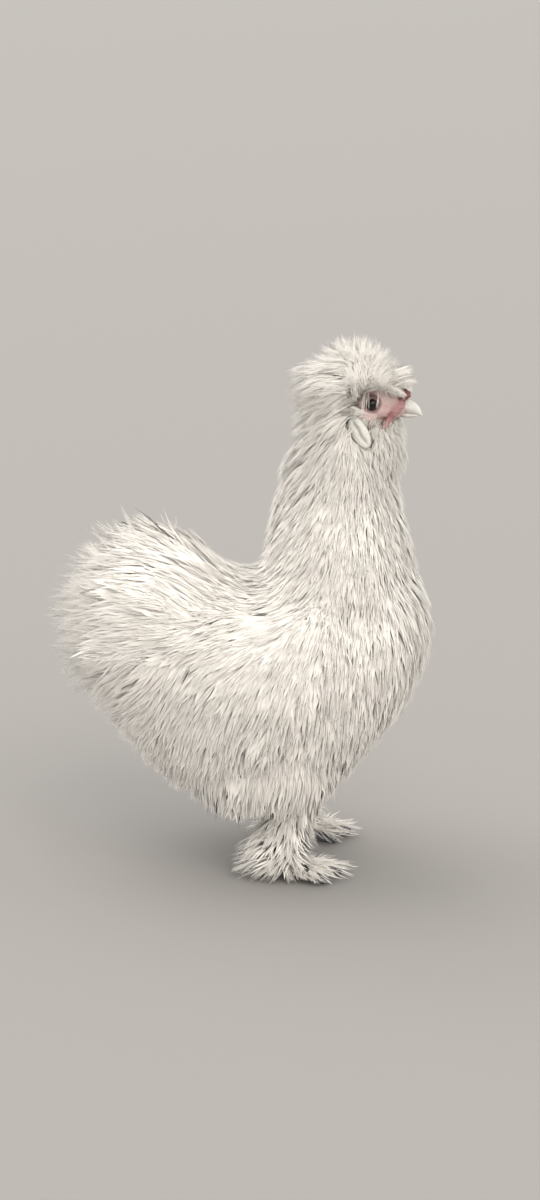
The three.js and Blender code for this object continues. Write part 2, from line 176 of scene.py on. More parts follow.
def easing(low, high, value):
    share = np.clip((value - low) / (high - low), 0, 1)
    return share * share * (3 - 2 * share)


# Camera: beside the hen's right side, a little above her, as the photo was taken
camera = {"target": (18.5, 0, 169), "elevation": 14, "distance": 1600, "lens": 76.7}
rise = math.radians(camera["elevation"])
away = Vector((0, -math.cos(rise), math.sin(rise))) * camera["distance"] * mm
nothingSelected()
bpy.ops.object.camera_add(location=at(*camera["target"]) + away, rotation=(math.pi / 2 - rise, 0, 0))
bpy.context.object.data.lens = camera["lens"]
bpy.context.scene.camera = bpy.context.object


# Materials

def newMaterial(name, **values):
    made = bpy.data.materials.new(name)
    made.use_nodes = True
    shader = made.node_tree.nodes["Principled BSDF"]
    for key, value in values.items():
        shader.inputs[key.replace("_", " ")].default_value = value
    return made, made.node_tree.nodes, made.node_tree.links, shader


def tintedByAttribute(name, attribute, noiseScale, low, high, bump=None, **values):
    made, nodes, links, shader = newMaterial(name, **values)
    tint = nodes.new("ShaderNodeAttribute")
    tint.attribute_name = attribute
    place = nodes.new("ShaderNodeTexCoord")
    noise = nodes.new("ShaderNodeTexNoise")
    noise.inputs["Scale"].default_value = noiseScale
    noise.inputs["Detail"].default_value = 4.0
    links.new(place.outputs["Object"], noise.inputs["Vector"])
    spread = nodes.new("ShaderNodeMapRange")
    spread.inputs["To Min"].default_value = low
    spread.inputs["To Max"].default_value = high
    links.new(noise.outputs["Fac"], spread.inputs["Value"])
    shade = nodes.new("ShaderNodeVectorMath")
    shade.operation = "SCALE"
    links.new(tint.outputs["Color"], shade.inputs[0])
    links.new(spread.outputs["Result"], shade.inputs["Scale"])
    links.new(shade.outputs["Vector"], shader.inputs["Base Color"])
    if bump:
        relief = nodes.new("ShaderNodeBump")
        relief.inputs["Strength"].default_value, relief.inputs["Distance"].default_value = bump
        links.new(noise.outputs["Fac"], relief.inputs["Height"])
        links.new(relief.outputs["Normal"], shader.inputs["Normal"])
    return made


skinFinish = tintedByAttribute(
    "skinFinish", "skinTone", 420, 0.86, 1.1, bump=(0.35, 0.0004),
    Roughness=0.52, Subsurface_Weight=0.12, Subsurface_Radius=(0.004, 0.0015, 0.001))
coatFinish = tintedByAttribute("coatFinish", "coatTone", 60, 0.95, 1.04, Roughness=0.62, Sheen_Weight=0.25)
billFinish = tintedByAttribute(
    "billFinish", "hornTone", 260, 0.9, 1.06, bump=(0.12, 0.0003),
    Roughness=0.34, Subsurface_Weight=0.1, Subsurface_Radius=(0.003, 0.0025, 0.002))
clawFinish = tintedByAttribute("clawFinish", "hornTone", 500, 0.85, 1.08, bump=(0.15, 0.0002), Roughness=0.38)

eyeFinish, nodes, links, shader = newMaterial("eyeFinish", Roughness=0.14, Specular_IOR_Level=0.35)
tint = nodes.new("ShaderNodeAttribute")
tint.attribute_name = "irisTone"
links.new(tint.outputs["Color"], shader.inputs["Base Color"])


def paint(piece, name, colours):
    layer = piece.data.color_attributes.new(name, "FLOAT_COLOR", "POINT")
    flat = np.ones((len(piece.data.vertices), 4), np.float32)
    flat[:, :3] = colours
    layer.data.foreach_set("color", flat.ravel())


def dressed(piece, material, slot, *replaced):
    piece.data.materials.clear()
    piece.data.materials.append(material)
    for face in piece.data.polygons:
        face.use_smooth = True
    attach(piece, "root")
    if replaced:
        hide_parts(*replaced)
    return piece


# The skin: flesh under the coat, from balls fused into one form
flesh = {
    "voxel": 2.4,
    "rounds": 8,
    "balls": [
        ((20, 0, 115), (82, 55, 57)),     # trunk
        ((74, 0, 142), (32, 43, 44)),     # breast
        ((-42, 0, 150), (44, 46, 43)),    # rump under the cushion
        ((-66, 0, 160), (26, 32, 30)),    # root of the tail
        ((62, 0, 182), (34, 36, 36)),     # foot of the neck
        ((61, 0, 214), (27, 27, 34)),
        ((61, 0, 244), (22, 22, 32)),
    ],
    "thigh": [((13, 38, 84), (33, 23, 32)), ((20, 38, 68), (21, 17, 22))],
    "wing": [((52, 41, 167), (10, 6, 10)), ((41, 51, 154), (16, 6, 17)), ((29, 59, 134), (19, 6, 20)),
             ((15, 63, 114), (17, 5, 18)), ((7, 61, 100), (10, 4, 12))],
}
# The head and feet have finer flesh of their own, fused onto the rest
face = {
    "voxel": 0.62,
    "rounds": 4,
    "balls": [
        ((57, 0, 291), (16, 13.5, 15.5)),
        ((69, 0, 292), (18, 15, 16.5)),
        ((79, 0, 293), (15.5, 13, 15)),
        ((88, 0, 292.3), (12, 9.8, 11.2)),
        ((95, 0, 291.6), (7.5, 6.6, 7.6)),
        ((60, 0, 268), (18, 18, 27)),
    ],
    "brow": ((80, 10.5, 304), (8, 4, 2.2)),
    "cheek": [((86, 10, 290), (6, 3.2, 4)), ((77, 12, 287), (6, 3.4, 4.5))],
    "lidPlane": 3.1,
    "lidRing": 4.25,
    "lidThickness": 0.85,
}
comb = {"centre": (100.2, 0, 298.7), "radii": (4.1, 4.4, 3.7), "knobs": 17, "knobRadius": 1.15}
earlobe = {
    "centre": (72.9, 19, 278.8), "radii": (5.4, 2.4, 11.5), "lean": 31, "flare": 12,
    "stalk": ((73, 14.5, 287.5), (3.4, 4, 3.2)),
    "grooveDepth": 1.5, "wrinkle": 0.22,
}
wattle = {"from": (98.5, 5.0, 294.0), "bend": (93, 8.6, 287.5), "to": (88.0, 13.4, 280.6),
          "radii": (1.3, 3.1), "steps": 14}
foot = {   # each toe by its heading in degrees, its length and its radius
    "toes": [("middle", 2, 30, 4), ("inner", -33, 25, 3.6), ("outer", 37, 26, 3.6),
             ("hind", -152, 18, 3.3), ("fifth", -128, 18, 2.9)],
    "fifthRoot": 5,
    "fifthRise": 10,
    "padRise": 0.86,
    "shankRadius": 5.4,
    "shankTop": 58,
    "shankSteps": 12,
    "scuteHeight": 0.22,
    "scuteLength": 2.1,
    "shankScutes": (0.2, 2.6),
}


def toesOf(side):   # each toe's name, length and radius, its two ends and the way it points
    for name, heading, length, radius in foot["toes"]:
        x, y = legs[side]
        turn = math.radians(heading) * sides[side]
        rise, lift = (foot["fifthRise"], foot["fifthRoot"]) if name == "fifth" else (0, 0)
        root = np.array((x, y, radius * foot["padRise"] + lift))
        tip = root + np.array((math.cos(turn) * length, math.sin(turn) * length, rise))
        yield name, length, radius, root, tip, (tip - root) / np.linalg.norm(tip - root)


def onWattle(share):   # the line of the red fold, from the comb down
    a, b, c = (np.array(wattle[key]) for key in ("from", "bend", "to"))
    return (1 - share) ** 2 * a + 2 * share * (1 - share) * b + share ** 2 * c


def onEarlobe(points, sign=1):   # places across the lobe, along it and out of its middle
    lean = math.radians(-earlobe["lean"])
    offset = points - np.array(onSide(sign, earlobe["centre"]))
    across = offset @ np.array((math.cos(lean), 0, -math.sin(lean)))
    along = offset @ np.array((math.sin(lean), 0, math.cos(lean)))
    return across, along, offset[:, 1]


def fromGroove(across, along):   # the groove winds a little
    return across - 0.25 * np.sin(along * 0.7)


balls = [addBall(*ball) for ball in flesh["balls"]]
for sign in sides.values():
    for centre, radii in flesh["thigh"] + flesh["wing"]:
        balls.append(addBall(onSide(sign, centre), radii))
bulk = fused(joined(balls, "bulk"), flesh["voxel"], flesh["rounds"])

balls = [addBall(centre, radii, segments=40, rings=28) for centre, radii in face["balls"]]
balls.append(addBall(comb["centre"], comb["radii"]))
for i in range(comb["knobs"]):   # knobs of the walnut comb, on a spiral round it
    turn = i * 2.4
    level = 1 - 1.5 * (i + 0.5) / comb["knobs"]
    reach = math.sqrt(1 - level * level)
    out = np.array((math.cos(turn) * reach, math.sin(turn) * reach, level))
    place = tuple(np.array(comb["centre"]) + out * comb["radii"])
    size = comb["knobRadius"] * (1 + 0.35 * math.sin(i * 1.9))
    balls.append(addBall(place, (size,) * 3, segments=12, rings=8))
for sign in sides.values():
    for centre, radii in [face["brow"], *face["cheek"], earlobe["stalk"]]:
        balls.append(addBall(onSide(sign, centre), radii))
    turn = (math.radians(earlobe["flare"] * sign), math.radians(-earlobe["lean"]), 0)
    balls.append(addBall(onSide(sign, earlobe["centre"]), earlobe["radii"], turn, 32, 24))
    for step in range(wattle["steps"]):   # the red fold from the comb down to the wattle
        share = step / (wattle["steps"] - 1)
        thick, wide = wattle["radii"][0] * (1 - 0.2 * share), wattle["radii"][1] * (1 - 0.5 * share)
        balls.append(addBall(onSide(sign, onWattle(share)), (wide, thick, wide), segments=14, rings=10))
    nothingSelected()
    ex, ey, ez = eye["centre"]
    bpy.ops.mesh.primitive_torus_add(
        location=at(ex + 0.4, (ey + face["lidPlane"]) * sign, ez),
        rotation=(math.radians(90 - 6 * sign), 0, math.radians(-7 * sign)),
        major_radius=face["lidRing"] * mm, minor_radius=face["lidThickness"] * mm,
        major_segments=40, minor_segments=14)
    balls.append(settled(bpy.context.object, "lid"))
for sideName in sides:
    x, y = legs[sideName]
    for step in range(foot["shankSteps"]):
        level = 4 + step * (foot["shankTop"] - 4) / (foot["shankSteps"] - 1)
        radius = foot["shankRadius"] * (1.12 if step == 0 else 1)
        balls.append(addBall((x - 1 - step * 0.6, y, level), (radius, radius, 5), segments=14, rings=8))
    for name, length, radius, root, tip, axis in toesOf(sideName):
        steps = int(length / 1.9)
        for step in range(steps + 1):
            share = step / steps
            pad = 1 + 0.1 * math.cos(share * length / 9 * 2 * math.pi)   # the pads under the joints
            size = radius * (1.05 - 0.28 * share) * pad
            balls.append(addBall(tuple(root + (tip - root) * share), (size,) * 3, segments=12, rings=8))
detail = fused(joined(balls, "detail"), face["voxel"], face["rounds"])
stage(f"flesh: {len(bulk.data.polygons)} coarse and {len(detail.data.polygons)} fine faces")

# Folds, scutes and the groove of the earlobe, moved into the fine flesh point by point
points = drawing(pointsOf(detail))
outward = normalsOf(detail)
x, y, z = points.T
side = np.sign(y)
onFace = easing(66, 70, x) * easing(280, 284, z) * (1 - easing(303, 306, z))
onFold = easing(86, 89, x) * (1 - easing(100, 103, x)) * easing(279, 282, z) * (np.abs(x - z + 196) < 6)
folds = 0.16 * np.sin(1.3 * (x + z) + 2.2 * np.sin(1.1 * (x - z))) * onFold
folds = folds + (np.sin(1.9 * x + 1.3 * z + 2 * np.sin(0.8 * z)) * np.sin(1.4 * z - 0.9 * x)) * 0.16
points += outward * (folds * onFace)[:, None]
for sign in sides.values():
    u, v, _ = onEarlobe(points, sign)
    onLobe = (np.abs(u) < 6.2) & (np.abs(v) < 11.4) & (side == sign) & (outward[:, 1] * sign > 0.2)
    groove = -earlobe["grooveDepth"] * np.exp(-fromGroove(u, v) ** 2) * (1 - easing(6, 10, np.abs(v)))
    wrinkle = earlobe["wrinkle"] * np.sin(2.1 * v + 1.7 * u) * np.sin(0.9 * v - 2.2 * u)
    points[onLobe] += outward[onLobe] * (groove + wrinkle)[onLobe, None]
for sideName in sides:
    for name, length, radius, root, tip, axis in toesOf(sideName):
        offset = points - root
        s = offset @ axis
        near = np.linalg.norm(offset - np.outer(s, axis), axis=1) < radius * 1.5
        onToe = near & (s > 3) & (s < length + 4) & (outward[:, 2] > 0.1)
        scute = foot["scuteHeight"] * (1 - (s / foot["scuteLength"] % 1)) ** 2
        points[onToe] += outward[onToe] * scute[onToe, None]
    legX, legY = legs[sideName]
    onShank = (np.hypot(x - legX, y - legY) < 16) & (z > 9) & (z < 50)
    height, length = foot["shankScutes"]
    points[onShank] += outward[onShank] * (height * (1 - (z / length % 1)) ** 2)[onShank, None]
points[:, 2] = np.maximum(points[:, 2], 0)
movePoints(detail, world(points))

withModifier(bulk, "BOOLEAN", operation="UNION", object=detail, solver="EXACT")
nothingSelected()
bpy.data.objects.remove(detail)
skin = settled(bulk, "skin")
stage(f"skin: {len(skin.data.polygons)} faces")

# Its colours: white where the coat grows, mauve face, comb and wattles red with painted shade, pale lobes
# with painted shade, slate toes
tones = {
    "under": (0.80, 0.74, 0.67),
    "face": (0.60, 0.45, 0.43),
    "faceDark": (0.40, 0.235, 0.24),
    "red": (0.33, 0.145, 0.14),
    # red darkened by painted shade, for the comb and a patch of the fold
    "shadedRed": (0.20, 0.070, 0.068),
    "lobe": (0.71, 0.705, 0.655),
    # painted shade for the rim and the groove of the lobe
    "lobeShade": (0.30, 0.28, 0.275),
    "toe": (0.115, 0.125, 0.15),
    "lid": (0.24, 0.15, 0.15),
}
points = drawing(pointsOf(skin))
x, y, z = points.T
folded = bothAsOne(points)
colours = np.tile(np.array(tones["under"]), (len(points), 1))


def awayFrom(place):
    return np.linalg.norm(folded - place, axis=1)


def tintWhere(share, tone):
    colours[:] = mixed(colours, tones[tone], share[:, None])


onHead = easing(64, 67.5, x) * easing(276, 281, z) * (1 - easing(304, 307, z))
tintWhere(onHead, "face")
tintWhere(onHead * (1 - easing(3, 9, np.hypot(x - 92, (z - 289) * 0.8))) * 0.5, "faceDark")
fromComb = np.linalg.norm((points - np.array(comb["centre"])) / np.array((6.6, 7.4, 6.2)), axis=1)
# The comb: its own dark red, darkened further by painted shade
tintWhere(1 - easing(0.9, 1.2, fromComb), "shadedRed")
nearest = np.min([awayFrom(onWattle(share)) for share in np.linspace(0, 1, 12)], axis=0)
tintWhere((1 - easing(1.2, 5.0, nearest)) * 0.85, "red")
# Painted shade: a darker red patch on the fold below the comb
tintWhere((1 - easing(0.8, 4.0, awayFrom((91.8, 9.6, 287.6)))) * 0.85, "shadedRed")
fromEye = awayFrom(np.array(eye["centre"]))
tintWhere((1 - easing(6.0, 7.4, fromEye)) * (folded[:, 1] > 8), "lid")
u, v, out = onEarlobe(folded)
lobe = np.hypot(u / 5.9, v / 11.4) * np.where(np.abs(out + 0.2 * v) < 4.5, 1, 9)
tintWhere(1 - easing(0.98, 1.06, lobe), "lobe")
# Painted shade round the rim of the lobe, where it meets the head
tintWhere(easing(0.78, 0.98, lobe) * (1 - easing(1.02, 1.25, lobe)) * 0.8, "lobeShade")
# Painted shade along the groove of the lobe
grooveShade = np.exp(-(fromGroove(u, v) / 0.8) ** 2) * (lobe < 0.85) * (1 - easing(5, 9, np.abs(v)))
tintWhere(grooveShade * 0.65, "lobeShade")
tintWhere(1 - easing(9, 12, z), "toe")
for sideName in sides:
    for name, length, radius, root, tip, axis in toesOf(sideName):
        if name == "fifth":
            tintWhere((np.linalg.norm(points - tip, axis=1) < 12) * 1.0, "toe")
paint(skin, "skinTone", colours)
fleshNodes = [name for name in frame["nodes"] if not name.startswith(("eye", "bill", "claw"))]
dressed(skin, skinFinish, "face_skin", *fleshNodes)

edited(skin, lambda: bpy.ops.uv.smart_project(angle_limit=math.radians(70), island_margin=0.002))
stage("skin unwrapped")


# Eyes: a dark brown iris, nearly black, with a black pupil
for sideName, sign in sides.items():
    centre = onSide(sign, eye["centre"])
    ball = settled(addBall(centre, (eye["radius"],) * 3, (math.radians(-90 * sign), 0, 0),
                           eye["segments"], eye["segments"] // 2), f"eyeball_{sideName}")
    look = unit(np.array((0.12, sign, 0.04)))
    points = drawing(pointsOf(ball))
    facing = (points - np.array(centre)) @ look / eye["radius"]
    bulge = 0.35 * easing(0.78, 1.0, facing)   # the cornea stands a little proud
    movePoints(ball, world(points + look * bulge[:, None]))
    pupil = easing(0.925, 0.945, facing)[:, None]
    rim = (1 - easing(0.74, 0.80, facing))[:, None]
    paint(ball, "irisTone", mixed(mixed(eye["iris"], eye["pupil"], pupil), eye["rim"], rim))
    dressed(ball, eyeFinish, "eye", f"eye_{sideName}")
stage("eyes")


# Bill and claws: a ball drawn out along a bent line
def drawnOut(name, path, wide, high, low, taper, ridge=0.0, segments=32, rings=24):
    nothingSelected()
    bpy.ops.mesh.primitive_uv_sphere_add(segments=segments, ring_count=rings, radius=1)
    piece = settled(bpy.context.object, name)
    ball = pointsOf(piece)
    share = (1 - ball[:, 2]) / 2
    a, b, c = [np.array(p, float) for p in path]
    line = ((1 - share) ** 2)[:, None] * a + (2 * share * (1 - share))[:, None] * b
    line = line + (share ** 2)[:, None] * c
    along = unit((2 * (1 - share))[:, None] * (b - a) + (2 * share)[:, None] * (c - b))
    across = np.tile(unit(np.cross((c - a), (0, 0, 1.0))), (len(ball), 1))
    up = np.cross(across, along)
    turn = np.arctan2(ball[:, 1], ball[:, 0])
    fullness = 2 * np.sqrt(np.clip(share * (1 - share), 0, 1)) * taper(share)
    sin, cos = np.sin(turn), np.cos(turn)
    narrow = 1 - ridge * np.clip(sin, 0, 1) ** 1.5
    points = line + across * (cos * narrow * fullness * wide)[:, None]
    points += up * (sin * fullness * np.where(sin > 0, high, low))[:, None]
    movePoints(piece, world(points))
    edited(piece, lambda: bpy.ops.mesh.normals_make_consistent(inside=False))
    return piece, share


bill = {
    "upper": {"path": ((97, 0, 291.6), (106.2, 0, 292.4), (112.2, 0, 285.4)),
              "wide": 5.0, "high": 5.5, "low": 5.0, "ridge": 0.35},
    "lower": {"path": ((97, 0, 287.0), (104, 0, 286.2), (110.7, 0, 286.0)),
              "wide": 4.5, "high": 1.7, "low": 2.4, "ridge": 0.0},
    "nostril": {"place": (102.6, 292.6), "size": (1.4, 0.55), "slope": 0.3, "depth": 0.7},
    "tone": (0.62, 0.60, 0.565), "rootTone": (0.56, 0.46, 0.44), "tipTone": (0.74, 0.72, 0.68),
}
for name in ("upper", "lower"):
    part = bill[name]
    piece, share = drawnOut(
        f"{name}Bill", part["path"], part["wide"], part["high"], part["low"],
        lambda s: 1 - 0.42 * s - 0.42 * s ** 4, ridge=part["ridge"], segments=48, rings=40)
    points = drawing(pointsOf(piece))
    if name == "upper":
        nostril = bill["nostril"]
        ahead, above = points[:, 0] - nostril["place"][0], points[:, 2] - nostril["place"][1]
        above = above + nostril["slope"] * ahead
        hollow = np.exp(-(ahead / nostril["size"][0]) ** 2 - (above / nostril["size"][1]) ** 2)
        points[:, 1] -= np.sign(points[:, 1]) * nostril["depth"] * hollow
        movePoints(piece, world(points))
    root = (1 - easing(100.4, 103.0, points[:, 0]))[:, None]
    tip = easing(105, 111, points[:, 0])[:, None]
    paint(piece, "hornTone", mixed(mixed(bill["tone"], bill["tipTone"], tip), bill["rootTone"], root))
    dressed(piece, billFinish, "bill_horn", f"bill_{name}")

claw = {"length": 7.5, "radius": 1.7, "sink": 1.4, "rise": 0.4, "droop": 2.2,
        "tone": (0.42, 0.40, 0.38), "tipTone": (0.62, 0.60, 0.57)}
for sideName in sides:
    for name, length, radius, root, tip, axis in toesOf(sideName):
        path = [tip + axis * (s * claw["length"] - claw["sink"])
                + np.array((0, 0, claw["rise"] - claw["droop"] * s * s + 0.5 * s)) for s in (0, 0.55, 1)]
        piece, share = drawnOut(f"claw_{sideName}_{name}_horn", path, *[claw["radius"]] * 3,
                                lambda s: 1.05 - 0.8 * s, ridge=0.15, segments=20, rings=16)
        fade = easing(0.4, 1, share)[:, None]
        paint(piece, "hornTone", mixed(claw["tone"], claw["tipTone"], fade))
        dressed(piece, clawFinish, "claw_horn", f"claw_{sideName}_{name}")
stage("bill and claws")


# The form that the coat fills, out to the tips: copies of the feathered solids and the head, swollen,
# fused and shrunk again, which fills the dents between their locks
hullForm = {
    "parts": [
        (["trunk", "cushion", "tail", "neck", "thigh_right", "thigh_left", "wing_right", "wing_left"], 5.0),
        (["crest", "beard", "head", "shank_right", "shank_left",
          "foot_feathers_right", "foot_feathers_left"], 2.5),
    ],
    "grow": 0.3, "voxel": 2.5, "rounds": 8,
}


def swollen(name, reach):
    copy = frame["nodes"][name].copy()
    copy.data = frame["nodes"][name].data.copy()
    copy.hide_viewport = False
    copy.hide_render = False
    bpy.context.scene.collection.objects.link(copy)
    edited(copy, lambda: bpy.ops.mesh.remove_doubles(threshold=1e-6),
           lambda: bpy.ops.transform.shrink_fatten(value=reach * mm))
    return copy


forms = []
for names, reach in hullForm["parts"]:
    copies = [swollen(name, reach + hullForm["grow"]) for name in names]
    form = fused(joined(copies, "form"), hullForm["voxel"], hullForm["rounds"])
    movePoints(form, pointsOf(form) - normalsOf(form) * reach * mm)
    forms.append(form)
hull = fused(joined(forms, "hull"), hullForm["voxel"], hullForm["rounds"])
stage("hull of the coat")


def trianglesOf(piece):
    piece.data.calc_loop_triangles()
    count = len(piece.data.loop_triangles)
    corners, loops = np.empty(count * 3, np.int32), np.empty(count * 3, np.int32)
    piece.data.loop_triangles.foreach_get("vertices", corners)
    piece.data.loop_triangles.foreach_get("loops", loops)
    return corners.reshape(-1, 3), loops.reshape(-1, 3)


skinCorners, skinLoops = trianglesOf(skin)
skinPoints = drawing(pointsOf(skin))
skinMap = np.empty(len(skin.data.loops) * 2, np.float32)
skin.data.uv_layers.active.data.foreach_get("uv", skinMap)
skinMap = skinMap.reshape(-1, 2)
# No feather is rooted in the lobe, the comb or a lid
feathered = ((lobe > 1.15) & (fromComb > 1.25) & (fromEye > 7.6))[skinCorners].all(1)
skinCorners, skinLoops = skinCorners[feathered], skinLoops[feathered]
skinTree = BVHTree.FromPolygons(skinPoints.tolist(), skinCorners.tolist())
hullCorners, _ = trianglesOf(hull)
hullPoints, hullOutward = drawing(pointsOf(hull)), normalsOf(hull)
bpy.data.objects.remove(hull)

